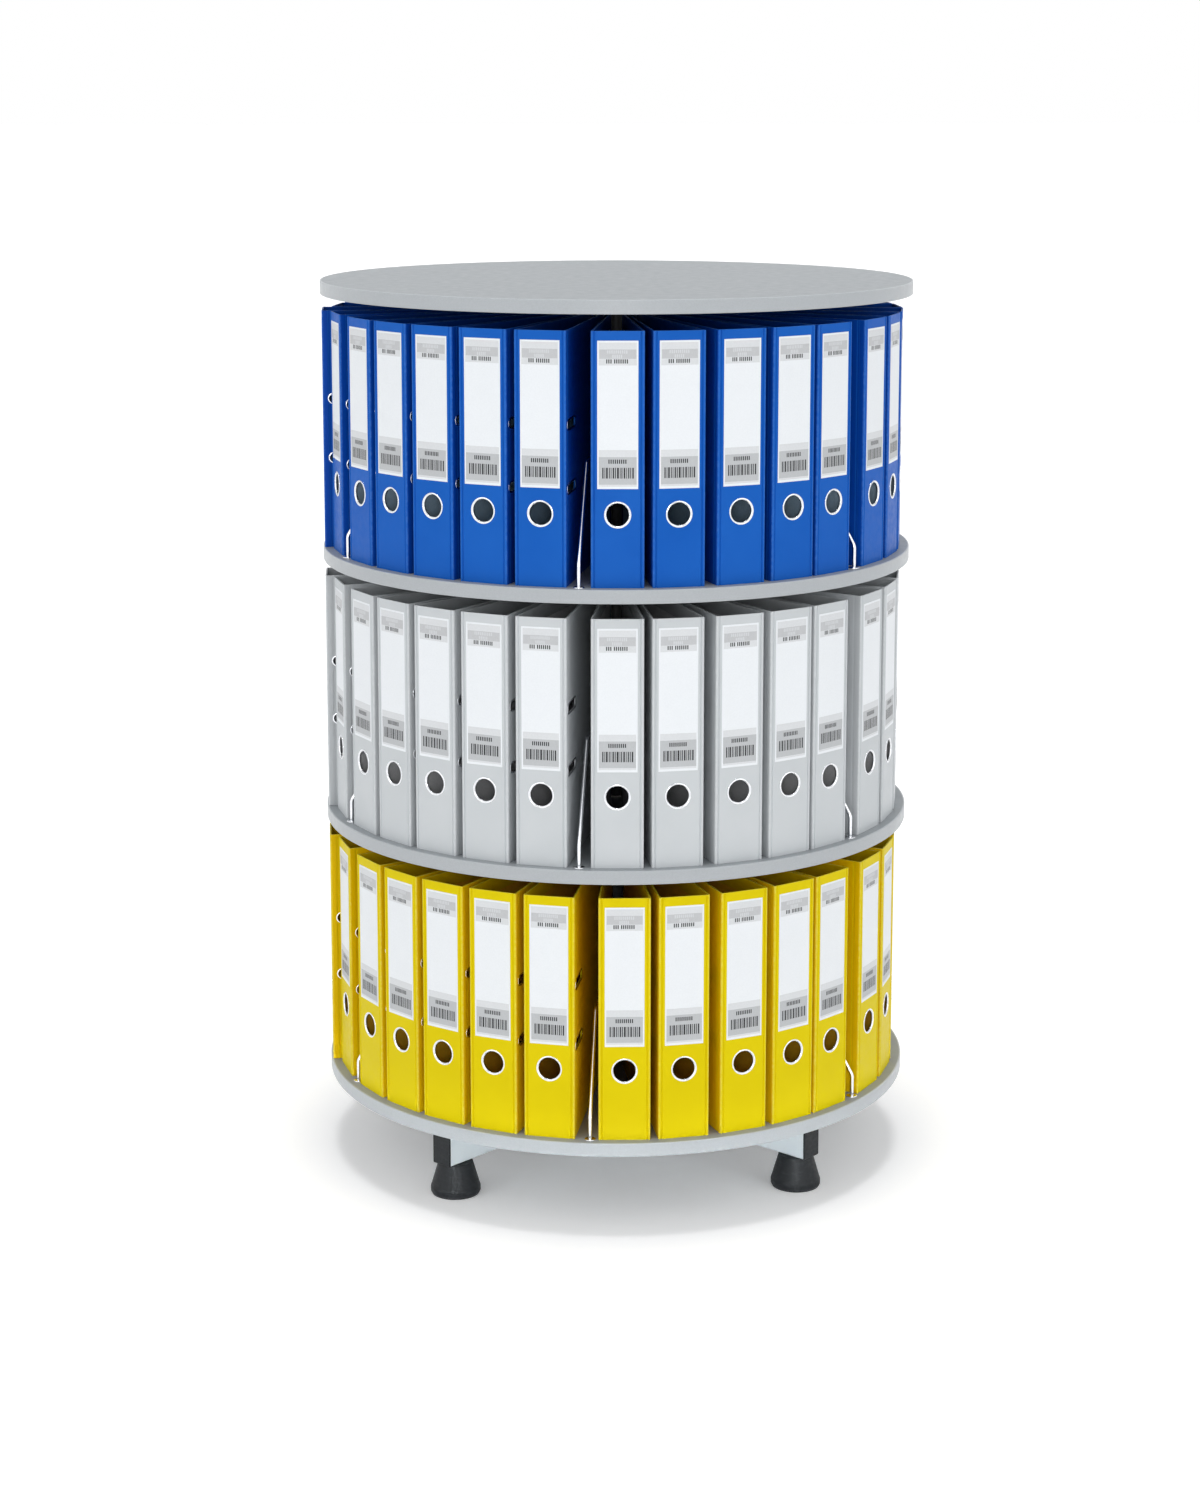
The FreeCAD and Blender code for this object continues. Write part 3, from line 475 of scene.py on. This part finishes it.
def file_cover(name, deep, base, side, worn_and_highlight):
    """Foil-covered greyboard: linen emboss, slow colour drift, painted shade on the covers, and edges
    lightened as rubbed wear and as a painted highlight.
    """
    look = Surface(name, 0.4, Specular_IOR_Level=0.08)
    drift = look.ramp(look.noise(70 * MM, 2.0), 0.25, 0.75)
    body = look.mix(drift, deep, base)
    shade = look.ramp(look.attribute("tone"), 0.0, 1.0, 0.0, 0.35)
    # Covers, marked `side`, take the side colour: painted shade, darker than the spine and more orange on
    # the yellow files.
    body = look.mix(look.attribute("side"), look.mix(shade, body, deep), side)
    # Marked edges turn toward the worn colour in patches: partly rubbed wear, partly a painted highlight.
    wear_and_highlight_patches = look.ramp(look.noise(5 * MM, 5.0), 0.4, 0.65, 0.15, 0.6)
    rubbed_and_highlight = look.node("Math", {0: look.attribute("edge"), 1: wear_and_highlight_patches}, operation="MULTIPLY").outputs[0]
    look.colour(look.mix(rubbed_and_highlight, body, worn_and_highlight))
    look.rough(look.ramp(look.noise(8 * MM, 4.0), 0.3, 0.7, 0.34, 0.48))
    look.bump(look.noise(0.45 * MM, 2.0, (1, 1, 2.5)), 0.03 * MM)
    return look.bump(look.noise(0.45 * MM, 2.0, (2.5, 2.5, 1)), 0.03 * MM).material


def lining_paper(name, dark, light):
    """Paper that lines the inside of a file."""
    look = Surface(name, 0.75)
    look.colour(look.mix(look.ramp(look.noise(3 * MM, 6.0), 0.35, 0.65), dark, light))
    look.rough(look.ramp(look.noise(10 * MM), 0.3, 0.7, 0.68, 0.82))
    return look.bump(look.noise(0.8 * MM, 4.0), 0.03 * MM).material


def card(name, dark, light):
    """Coated label card, plain or printed."""
    look = Surface(name, 0.5)
    look.colour(look.mix(look.ramp(look.noise(2 * MM, 5.0), 0.35, 0.65), dark, light))
    look.rough(look.ramp(look.noise(12 * MM), 0.3, 0.7, 0.46, 0.56))
    return look.bump(look.noise(0.3 * MM, 3.0), 0.01 * MM).material


LAMINATE, BAND = laminate(), edge_band()
PAINTED = powder_coat("painted_steel", linear(204, 211, 215), linear(212, 218, 221), 0.38)
COLUMN_PAINT = powder_coat("column_steel", linear(34, 35, 38), linear(44, 45, 48), 0.4)
PLASTIC = moulded_plastic("dark_plastic", linear(24, 27, 30), linear(37, 40, 43), 0.5)
SKIRT = moulded_plastic("dark_plastic_skirt", linear(46, 48, 51), linear(58, 60, 63), 0.6)
ACETAL = moulded_plastic("bush_plastic", linear(222, 221, 214), linear(232, 231, 226), 0.45)
CHROME = bright_metal("chrome", linear(226, 228, 232), linear(242, 244, 247), 0.1, relief=0.0015 * MM)
RING_METAL = bright_metal("ring_metal", linear(214, 217, 220), linear(234, 236, 239), 0.14,
                          relief=0.003 * MM)
ZINC = bright_metal("zinc_steel", linear(176, 178, 182), linear(204, 205, 208), 0.34, grain=7 * MM)
GROUND = bright_metal("bearing_steel", linear(186, 187, 190), linear(214, 215, 218), 0.22, (6, 6, 0.4))
THREAD = threaded_steel()
# Each tier's foil: deep and base colours of its drift, the covers' painted shade, and rubbed edges with a
# painted highlight.
FILES = {
    "lower": file_cover("file_yellow", linear(224, 203, 1), linear(229, 209, 4), linear(234, 196, 1),
                        linear(244, 234, 130)),
    "middle": file_cover("file_grey", linear(202, 207, 210), linear(209, 213, 216), linear(200, 204, 207),
                         linear(228, 230, 232)),
    "upper": file_cover("file_blue", linear(20, 92, 186), linear(27, 99, 193), linear(6, 72, 172),
                        linear(84, 134, 210)),
}
FILE_SLOT = {"lower": "file_yellow", "middle": "file_grey", "upper": "file_blue"}
LINING = {
    "lower": lining_paper("lining_yellow", linear(244, 190, 30), linear(250, 200, 42)),
    "middle": lining_paper("lining_grey", linear(236, 237, 239), linear(243, 244, 246)),
    "upper": lining_paper("lining_blue", linear(186, 214, 234), linear(196, 222, 240)),
}
CARD = card("label_card", linear(235, 239, 243), linear(238, 242, 246))
# In the order of PLAIN, HEADER, STRIPE, BOX, INK and FAINT
PRINTS = [CARD, card("label_header", linear(216, 219, 222), linear(220, 223, 226)),
          card("label_band", linear(191, 193, 196), linear(196, 198, 201)),
          card("label_box", linear(186, 189, 192), linear(191, 194, 197)),
          card("label_print", linear(24, 26, 30), linear(34, 36, 40)),
          card("label_faint", linear(208, 211, 214), linear(214, 217, 220))]

SLOT_MATERIALS = {
    "board_laminate": LAMINATE, "edge_band": BAND, "painted_steel": PAINTED, "column_steel": COLUMN_PAINT,
    "dark_plastic": PLASTIC, "bush_plastic": ACETAL, "chrome": CHROME, "zinc_steel": ZINC,
    "bearing_steel": GROUND, "file_yellow": FILES["lower"], "file_grey": FILES["middle"],
    "file_blue": FILES["upper"], "label_card": CARD,
}


def finish_carried_nodes():
    """Gives every CAD node the material of its slot."""
    for part in frame["record"]["subparts"]:
        node = frame["nodes"][part["node"]]
        material = THREAD if part["node"].endswith("_stud") else SLOT_MATERIALS[part["material_slot"]]
        node.data.materials.clear()
        node.data.materials.append(material)


# ---------------------------------------------------------------- foot, column and boards

def make_base():
    """Cross of four tube arms, and the plastic caps in their ends."""
    half, inner, outer = ARM_WIDTH / 2, ARM_REACH - CAP_FLANGE, ARM_REACH
    corners = ((-half, ARM_LOW), (half, ARM_LOW), (half, ARM_HIGH), (-half, ARM_HIGH))
    section = rounded([(SOCKET_HALF, y, z, ARM_CORNER) for y, z in corners], closed=True)
    arm = prism("arm", section, (inner - SOCKET_HALF, 0, 0))
    side = rounded([(inner, -half, ARM_LOW, 0), (outer, -half, ARM_LOW, CAP_ROUND_LOW),
                    (outer, -half, ARM_HIGH, CAP_ROUND_HIGH), (inner, -half, ARM_HIGH, 0)], closed=True)
    cap = worked(prism("cap", side, (0, ARM_WIDTH, 0)), softened=CAP_EASE, limit=50)
    arms = [(arm, turn_to(angle), 0.0) for angle in FEET.values()]
    caps = [(cap, turn_to(angle), 0.0) for angle in FEET.values()]
    piece("arms", merged("arms", arms), [PAINTED], "base", "painted_steel", "base_arms")
    piece("arm_caps", merged("arm_caps", caps), [PLASTIC], "base", "dark_plastic", "arm_end_caps")


def make_feet():
    """Cone feet: a rounded shoulder, a short upright rim and a skirt that turns in to the sole."""
    cone = lathe("cone", [(CONE_BORE, ARM_LOW, 0), (CONE_TOP, ARM_LOW, CONE_ROUND),
                          (CONE_RIM - SHOULDER_SETBACK, SHOULDER_HEIGHT, SHOULDER_ROUND),
                          (CONE_RIM, RIM_HEIGHT, CONE_ROUND), (CONE_RIM, SKIRT_HEIGHT, 0),
                          (CONE_BORE, SKIRT_HEIGHT, 0)], closed=True)
    skirt = lathe("skirt", [(0, SKIRT_HEIGHT, 0), (CONE_RIM, SKIRT_HEIGHT, 0),
                            (CONE_RIM - SKIRT_INSET, SKIRT_HEIGHT - SKIRT_DROP, 0),
                            (CONE_SOLE, 0, SOLE_ROUND), (0, 0, 0)])
    for name, angle in FEET.items():
        spot = Matrix.Translation(direction(angle) * FOOT_REACH)
        piece(f"{name}_cone", merged("cone", [(cone, spot, 0.0)]), [PLASTIC], f"{name}_foot",
              "dark_plastic", f"{name}_foot_glide")
        piece(f"{name}_skirt", merged("skirt", [(skirt, spot, 0.0)]), [SKIRT], f"{name}_foot",
              "dark_plastic")


def make_column():
    column = lathe("column", [(COLUMN_BORE, COLUMN_LOW, 0), (COLUMN_RADIUS, COLUMN_LOW, COLUMN_ROUND_LOW),
                              (COLUMN_RADIUS, COLUMN_HIGH, COLUMN_ROUND_HIGH),
                              (COLUMN_BORE, COLUMN_HIGH, 0)], sides=64, closed=True)
    piece("column_tube", column, [COLUMN_PAINT], "base", "column_steel", "column")


def make_board(name, low, body, bore=0.0):
    """Laminated disc and the edge band glued round it."""
    high = low + BOARD_THICKNESS
    disc = lathe("disc", [(bore, low, 0), (BOARD_INNER, low, BOARD_EASE), (BOARD_INNER, high, BOARD_EASE),
                          (bore, high, 0)], sides=BOARD_SIDES, closed=bore > 0)
    ring = lathe("ring", [(BOARD_INNER, low, 0), (BOARD_RADIUS, low, EDGE_ROUND),
                          (BOARD_RADIUS, high, EDGE_ROUND), (BOARD_INNER, high, 0)],
                 sides=BOARD_SIDES, closed=True)
    board_node = "top_board" if name == "top" else f"{name}_shelf"
    band_node = "top_edge_band" if name == "top" else f"{name}_shelf_edge_band"
    piece(f"{name}_disc", disc, [LAMINATE], body, "board_laminate", board_node)
    piece(f"{name}_band", ring, [BAND], body, "edge_band", band_node)


# ---------------------------------------------------------------- tiers

def divider_angles(tier):
    return [FIRST_DIVIDER[tier] + 360 / BAYS * bay for bay in range(BAYS)]


def file_places(tier):
    """Where the files of a tier stand, bay by bay, the one in front on the left first."""
    places = []
    for bay, divider in enumerate(divider_angles(tier)):
        middle = divider + FILE_SHIFT[tier] + 180 / BAYS
        for place in range(FILES_PER_BAY):
            angle = middle + (place - (FILES_PER_BAY - 1) / 2) * FILE_PITCH
            angle += PUSH if (bay, place) in PUSHED_PLACES else 0
            reach = PROUD_REACH if (bay, place) == PROUD_PLACE else 0
            places.append(lift(SHELF_TOP[tier]) @ turn_to(angle) @ Matrix.Translation((reach, 0, 0)))
    return places


def make_dividers(tier):
    """Chrome wire brackets between the bays, with a domed ferrule at each front leg."""
    root = -WIRE_DEPTH
    crest = TOE_REACH - (DIVIDER_HEIGHT - TOE_HEIGHT) * math.tan(math.radians(LEG_SLOPE))
    line = rounded([(TOE_REACH, 0, root, 0), (TOE_REACH, 0, TOE_HEIGHT, TOE_BEND),
                    (crest, 0, DIVIDER_HEIGHT, CREST_BEND), (HEEL_REACH, 0, DIVIDER_HEIGHT, CREST_BEND),
                    (HEEL_REACH, 0, root, 0)], steps=12)
    wire = tube("wire", line, WIRE_RADIUS, Vector((0, 1, 0)))
    ferrule = lathe("ferrule", [(FERRULE_BORE, 0, 0), (FERRULE_RADIUS, 0, 0),
                                (FERRULE_RADIUS, FERRULE_RIM, FERRULE_ROUND),
                                (FERRULE_COLLAR, FERRULE_TOP, FERRULE_ROUND),
                                (FERRULE_BORE, FERRULE_THROAT, 0)], sides=40, closed=True)
    places = [lift(SHELF_TOP[tier]) @ turn_to(angle) for angle in divider_angles(tier)]
    toe = Matrix.Translation((TOE_REACH, 0, 0))
    wires = merged("wires", [(wire, place, 0.0) for place in places])
    ferrules = merged("ferrules", [(ferrule, place @ toe, 0.0) for place in places])
    piece(f"{tier}_wires", wires, [CHROME], f"{tier}_tier", "chrome", f"{tier}_dividers")
    piece(f"{tier}_ferrules", ferrules, [CHROME], f"{tier}_tier", "chrome", f"{tier}_divider_ferrules")


def cover_point(depth, inward, side=1):
    """Point on a file's cover: `depth` behind the spine's face, `inward` under the outer surface."""
    share = (depth - FILE_BOARD) / (FILE_DEPTH - FILE_BOARD)
    across = SPINE_HALF + (FORE_HALF - SPINE_HALF) * max(share, 0) - inward
    return SPINE_FACE - depth, side * across


def case_outline():
    """Plan of a file: spine with its two crease grooves, hinge grooves and tapering covers."""
    def half(side):
        crease = [(SPINE_FACE - deep * MM, side * across * MM, 0) for across, deep in CREASE_GROOVE]
        hinge = [(*cover_point(behind * MM, deep * MM, side), 0) for behind, deep in HINGE_GROOVE]
        return crease + [(SPINE_FACE, side * SPINE_HALF, SPINE_ROUND)] + hinge + [
            (*cover_point(FILE_DEPTH, 0, side), 0)]

    def inner_corners(side):
        return [(*cover_point(FILE_DEPTH, FILE_BOARD, side), 0),
                (*cover_point(FILE_BOARD, FILE_BOARD, side), INNER_ROUND)]
    corners = half(-1)[::-1] + half(1) + inner_corners(1) + inner_corners(-1)[::-1]
    return rounded([(x, y, 0, radius) for x, y, radius in corners], closed=True)


def slot_path(height):
    """Centre line of a slot's rim on the right-hand cover, and the cover's outward direction there."""
    near, far = SLOT_INSET + SLOT_WIDTH / 2, SLOT_INSET + SLOT_LENGTH - SLOT_WIDTH / 2
    start, end = Vector((*cover_point(near, 0), height)), Vector((*cover_point(far, 0), height))
    along = (end - start).normalized()
    radius = SLOT_WIDTH / 2
    up = Vector((0, 0, 1))
    arc = [math.pi * step / SLOT_STEPS for step in range(SLOT_STEPS + 1)]
    line = [end + radius * (along * math.sin(angle) + up * math.cos(angle)) for angle in arc]
    line += [start + radius * (-along * math.sin(angle) - up * math.cos(angle)) for angle in arc]
    return line, up.cross(along).normalized() * -1


def make_case():
    """Case of a file with its finger hole, slots and marked faces, and the rims of its slots."""
    case = prism("case", case_outline(), (0, 0, FILE_HEIGHT))
    radius = FINGER_BORE + RING_WALL
    hole = lathe("hole", [(0, -HOLE_CUT, 0), (radius, -HOLE_CUT, 0), (radius, HOLE_CUT, 0),
                          (0, HOLE_CUT, 0)], sides=48)
    hole.transform(FINGER_AXIS)
    cutters, rims = [hole], []
    for height in SLOT_HEIGHTS:
        line, outward = slot_path(height)
        cutters.append(prism("slot", [point - outward * SLOT_CUT for point in line], outward * 2 * SLOT_CUT))
        rims.append((tube("rim", line, SLOT_RIM, outward, closed=True, sides=12, flat=0.5), Matrix(), 0.0))
    case = worked(case, softened=FILE_EASE, cutters=cutters)
    part_lining(case)
    mark_faces(case)
    return case, merged("rims", rims)


def part_lining(case):
    """Parts the faces where the foil, turned in over the edges, meets the lining."""
    shape = bmesh.new()
    shape.from_mesh(case)
    up, outward = (0, 0, 1), (1, 0, 0)
    for place, normal in (((0, 0, TURN_IN), up), ((0, 0, FILE_HEIGHT - TURN_IN), up),
                          ((SPINE_FACE - FILE_DEPTH + TURN_IN, 0, 0), outward)):
        bmesh.ops.bisect_plane(shape, geom=shape.verts[:] + shape.edges[:] + shape.faces[:],
                               dist=WELD_DISTANCE, plane_co=place, plane_no=normal)
    shape.to_mesh(case)
    shape.free()


def mark_faces(case):
    """Second material on the lining; the attributes `edge` and `side` mark softened edges, lightened as wear
    and painted highlight, and covers, painted in shade.
    """
    edge = case.attributes.new("edge", "FLOAT", "FACE")
    side = case.attributes.new("side", "FLOAT", "FACE")
    under, end_strip, corner_strip = FILE_BOARD * 0.75, 0.6 * MM, 2.3 * MM
    end_area, corner_area = 0.9 * MM * FILE_HEIGHT, 1.0 * MM * FILE_HEIGHT
    # The tilt is 0 on an upright face, 1 on a level one and between them on a softened edge
    for face in case.polygons:
        x, y, z = face.center
        depth, tilt = SPINE_FACE - x, abs(face.normal.z)
        inside = abs(y) < cover_point(depth, under)[1] and depth > under and tilt < 0.5
        lined = TURN_IN < z < FILE_HEIGHT - TURN_IN and depth < FILE_DEPTH - TURN_IN
        face.material_index = 1 if inside and lined else 0
        # Softened ends and the spine's rounded corners get lighter: rubbed wear, and a painted highlight
        # where they catch the light.
        at_end = min(z, FILE_HEIGHT - z) < end_strip or depth > FILE_DEPTH - end_strip
        softened = at_end and face.area < end_area and 0.05 < tilt < 0.98
        at_corner = depth < corner_strip and abs(y) > SPINE_HALF - corner_strip
        rounded_off = at_corner and face.area < corner_area and not inside
        edge.data[face.index].value = 1.0 if softened else 0.5 if rounded_off else 0.0
        # Covers, which the foil's material paints in shade
        side.data[face.index].value = 1.0 if abs(face.normal.y) > 0.9 else 0.0


def label_zones():
    """Printed zones of the label in metres, as (left, right, top, bottom, print), later ones on top."""
    zones = list(ZONES)
    for first, ticks, top, bottom, ink in WORDS:
        starts = [first + TICK_STEP * tick for tick in range(ticks)]
        zones += [(start, start + TICK, top, bottom, ink) for start in starts]
    left = BARS_LEFT
    for wide, gap in BARS:
        zones.append((left, left + wide, BARS_TOP, BARS_BOTTOM, INK))
        left += wide + gap
    whole = (0, LABEL_WIDTH, 0, LABEL_HIGH - LABEL_LOW, PLAIN)
    return [whole] + [(left * MM, right * MM, top * MM, bottom * MM, ink)
                      for left, right, top, bottom, ink in zones]


def make_label():
    """Label card, its face a grid of cells that follow the printed zones."""
    zones = label_zones()
    across = sorted({round(edge, 6) for zone in zones for edge in zone[:2]})
    down = sorted({round(edge, 6) for zone in zones for edge in zone[2:4]})
    face = SPINE_FACE + LABEL_CARD
    shape = bmesh.new()
    grid = [[shape.verts.new((face, x - LABEL_WIDTH / 2, LABEL_HIGH - y)) for x in across] for y in down]
    for row in range(len(down) - 1):
        for column in range(len(across) - 1):
            cell = shape.faces.new([grid[row][column], grid[row + 1][column],
                                    grid[row + 1][column + 1], grid[row][column + 1]])
            x, y = (across[column] + across[column + 1]) / 2, (down[row] + down[row + 1]) / 2
            cell.material_index = [ink for left, right, top, bottom, ink in zones
                                   if left < x < right and top < y < bottom][-1]
    border = [edge for edge in shape.edges if edge.is_boundary]
    rim = bmesh.ops.extrude_edge_only(shape, edges=border)
    for vert in [item for item in rim["geom"] if isinstance(item, bmesh.types.BMVert)]:
        vert.co.x = SPINE_FACE - LABEL_SEAT
    back = bmesh.ops.edgeloop_fill(shape, edges=[edge for edge in shape.edges if edge.is_boundary])
    for item in rim["geom"] + back["faces"]:
        if isinstance(item, bmesh.types.BMFace):
            item.material_index = PLAIN
    bmesh.ops.recalc_face_normals(shape, faces=shape.faces)
    return to_mesh("label", shape)


def make_finger_ring():
    """Rolled metal ring that lines the finger hole."""
    bore, rim, outside = FINGER_BORE, FINGER_RIM, FINGER_BORE + RING_WALL
    throat_round, crest_round, lip_round = RING_ROUNDS
    ring = lathe("ring", [(bore, -FILE_BOARD, 0), (bore, -RING_THROAT, throat_round),
                          (bore + RING_CREST, RING_HEIGHT, crest_round), (rim, RING_LIP, lip_round),
                          (rim, 0, 0), (outside, 0, 0), (outside, -FILE_BOARD, 0)], sides=56, closed=True)
    ring.transform(FINGER_AXIS)
    return ring


def make_files(tier):
    """All files of a tier, and the one that pulls out as pieces of its own."""
    tones = random.Random(len(tier) * 31 + 7)
    case, rims = make_case()
    label, ring = make_label(), make_finger_ring()
    places = [(place, tones.random()) for place in file_places(tier)]
    pulled = 1 if tier == PULL_OUT_TIER else 0
    groups = [(tier, f"{tier}_tier", places[pulled:], (f"{tier}_file_spines", f"{tier}_file_covers"),
               f"{tier}_file_labels", f"{tier}_file_finger_rings")]
    if pulled:
        groups.append(("front_file", "front_file", places[:pulled], ("front_file_boards",),
                       "front_file_label", "front_file_finger_ring"))
    for name, body, spots, case_nodes, label_node, ring_node in groups:
        piece(f"{name}_cases", merged("cases", [(case, *spot) for spot in spots]),
              [FILES[tier], LINING[tier]], body, FILE_SLOT[tier], *case_nodes)
        piece(f"{name}_slot_rims", merged("slot_rims", [(rims, *spot) for spot in spots]), [CHROME], body,
              "chrome")
        piece(f"{name}_labels", merged("labels", [(label, *spot) for spot in spots]), PRINTS, body,
              "label_card", label_node)
        piece(f"{name}_rings", merged("rings", [(ring, *spot) for spot in spots]), [RING_METAL], body,
              "chrome", ring_node)


# ---------------------------------------------------------------- studio

def aim(item, place, ahead):
    """Puts a camera or lamp at a place, looking along `ahead`."""
    item.location = place
    item.rotation_mode = "QUATERNION"
    item.rotation_quaternion = ahead.to_track_quat("-Z", "Y")


def make_camera():
    data = bpy.data.cameras.new("camera")
    data.lens, data.sensor_width, data.shift_y = CAMERA_LENS, CAMERA_SENSOR, CAMERA_SHIFT
    camera = add_object("camera", data)
    bpy.context.scene.camera = camera
    toward, aside = direction(CAMERA_AZIMUTH), direction(CAMERA_AZIMUTH + 90)
    yaw, pitch = math.radians(CAMERA_YAW), math.radians(CAMERA_PITCH)
    ahead = aside * math.sin(yaw) - toward * math.cos(yaw)
    ahead = ahead * math.cos(pitch) - Vector((0, 0, math.sin(pitch)))
    place = toward * CAMERA_DISTANCE + aside * CAMERA_ASIDE + Vector((0, 0, CAMERA_HEIGHT))
    aim(camera, place, ahead)


def shown_rays(tree):
    """1 for rays from the camera and for those that metal or glass sends on, else 0."""
    rays = tree.nodes.new("ShaderNodeLightPath")
    seen = rays.outputs["Is Camera Ray"]
    for kind in ("Is Glossy Ray", "Is Transmission Ray"):
        either = tree.nodes.new("ShaderNodeMath")
        either.operation = "MAXIMUM"
        tree.links.new(seen, either.inputs[0])
        tree.links.new(rays.outputs[kind], either.inputs[1])
        seen = either.outputs[0]
    return seen


def make_world():
    """White where it is seen, and an even dim light on everything."""
    world = bpy.data.worlds.new("studio")
    bpy.context.scene.world = world
    world.use_nodes = True
    tree = world.node_tree
    level = tree.nodes.new("ShaderNodeMapRange")
    level.inputs["To Min"].default_value, level.inputs["To Max"].default_value = AMBIENT, 1.0
    tree.links.new(shown_rays(tree), level.inputs["Value"])
    tree.links.new(level.outputs[0], tree.nodes["Background"].inputs["Strength"])
    tree.nodes["Background"].inputs["Color"].default_value = (1, 1, 1, 1)


def make_floor():
    """Pale floor with a faint glow of its own, which takes it to white beside the object's shadow."""
    half = FLOOR_SIZE / 2
    corners = [Vector((x, y, 0)) for x, y in ((-half, -half), (half, -half), (half, half), (-half, half))]
    floor = add_object("floor", prism("floor", corners, Vector((0, 0, -FLOOR_THICKNESS))))
    look = Surface("studio_floor", 0.9, Specular_IOR_Level=0.0)
    shown = shown_rays(look.tree)
    darker, paler = [(grey, grey, grey, 1) for grey in FLOOR_GREYS]
    pale = look.mix(look.ramp(look.noise(0.8, 3.0), 0.3, 0.7), darker, paler)
    look.colour(look.mix(shown, pale, (1, 1, 1, 1)))
    glow = look.node("Math", {0: shown, 1: FLOOR_GLOW}, operation="MULTIPLY").outputs[0]
    look.shader.inputs["Emission Color"].default_value = (1, 1, 1, 1)
    look.tree.links.new(glow, look.shader.inputs["Emission Strength"])
    floor.data.materials.append(look.material)


def softbox(name, place, target, size, power, spread=180.0, tint=(1, 1, 1)):
    """Rectangular lamp that points at a target."""
    data = bpy.data.lights.new(name, "AREA")
    data.shape, data.size, data.size_y, data.energy = "RECTANGLE", size[0], size[1], power
    data.spread, data.color = math.radians(spread), tint
    aim(add_object(name, data), place, Vector(target) - Vector(place))


def broad_light(name, place, level, spread):
    """Distant light; a level of 1 alone shows a surface that faces it as its colour is written."""
    data = bpy.data.lights.new(name, "SUN")
    data.energy, data.angle = level * math.pi, math.radians(spread)
    aim(add_object(name, data), place, -Vector(place))


def make_lamps():
    """A key on either side, one light overhead, a softbox by the camera, and a strip for the foot."""
    rise = math.radians(KEY_RISE)
    for name, aside in (("key_left", -KEY_ASIDE), ("key_right", KEY_ASIDE)):
        place = direction(CAMERA_AZIMUTH + aside) * math.cos(rise) + Vector((0, 0, math.sin(rise)))
        broad_light(name, place * FRONT_DISTANCE, KEY_LEVEL, KEY_SPREAD)
    broad_light("overhead", OVERHEAD_FROM, OVERHEAD_LEVEL, OVERHEAD_SPREAD)
    toward = direction(CAMERA_AZIMUTH)
    softbox("front", toward * FRONT_DISTANCE + lift(FRONT_HEIGHT).translation, (0, 0, FRONT_TARGET),
            FRONT_SIZE, FRONT_POWER)
    softbox("low", toward * LOW_DISTANCE + lift(LOW_HEIGHT).translation, (0, 0, LOW_HEIGHT), LOW_SIZE,
            LOW_POWER, LOW_SPREAD, LOW_TINT)


finish_carried_nodes()
bpy.context.scene.view_settings.view_transform = "Standard"
make_camera()
make_world()
make_floor()
make_lamps()
make_base()
make_feet()
make_column()
make_board("top", TOTAL_HEIGHT - BOARD_THICKNESS, "base")
for tier in TIERS:
    make_board(tier, SHELF_TOP[tier] - BOARD_THICKNESS, f"{tier}_tier", bore=SHELF_BORE)
    make_dividers(tier)
    make_files(tier)
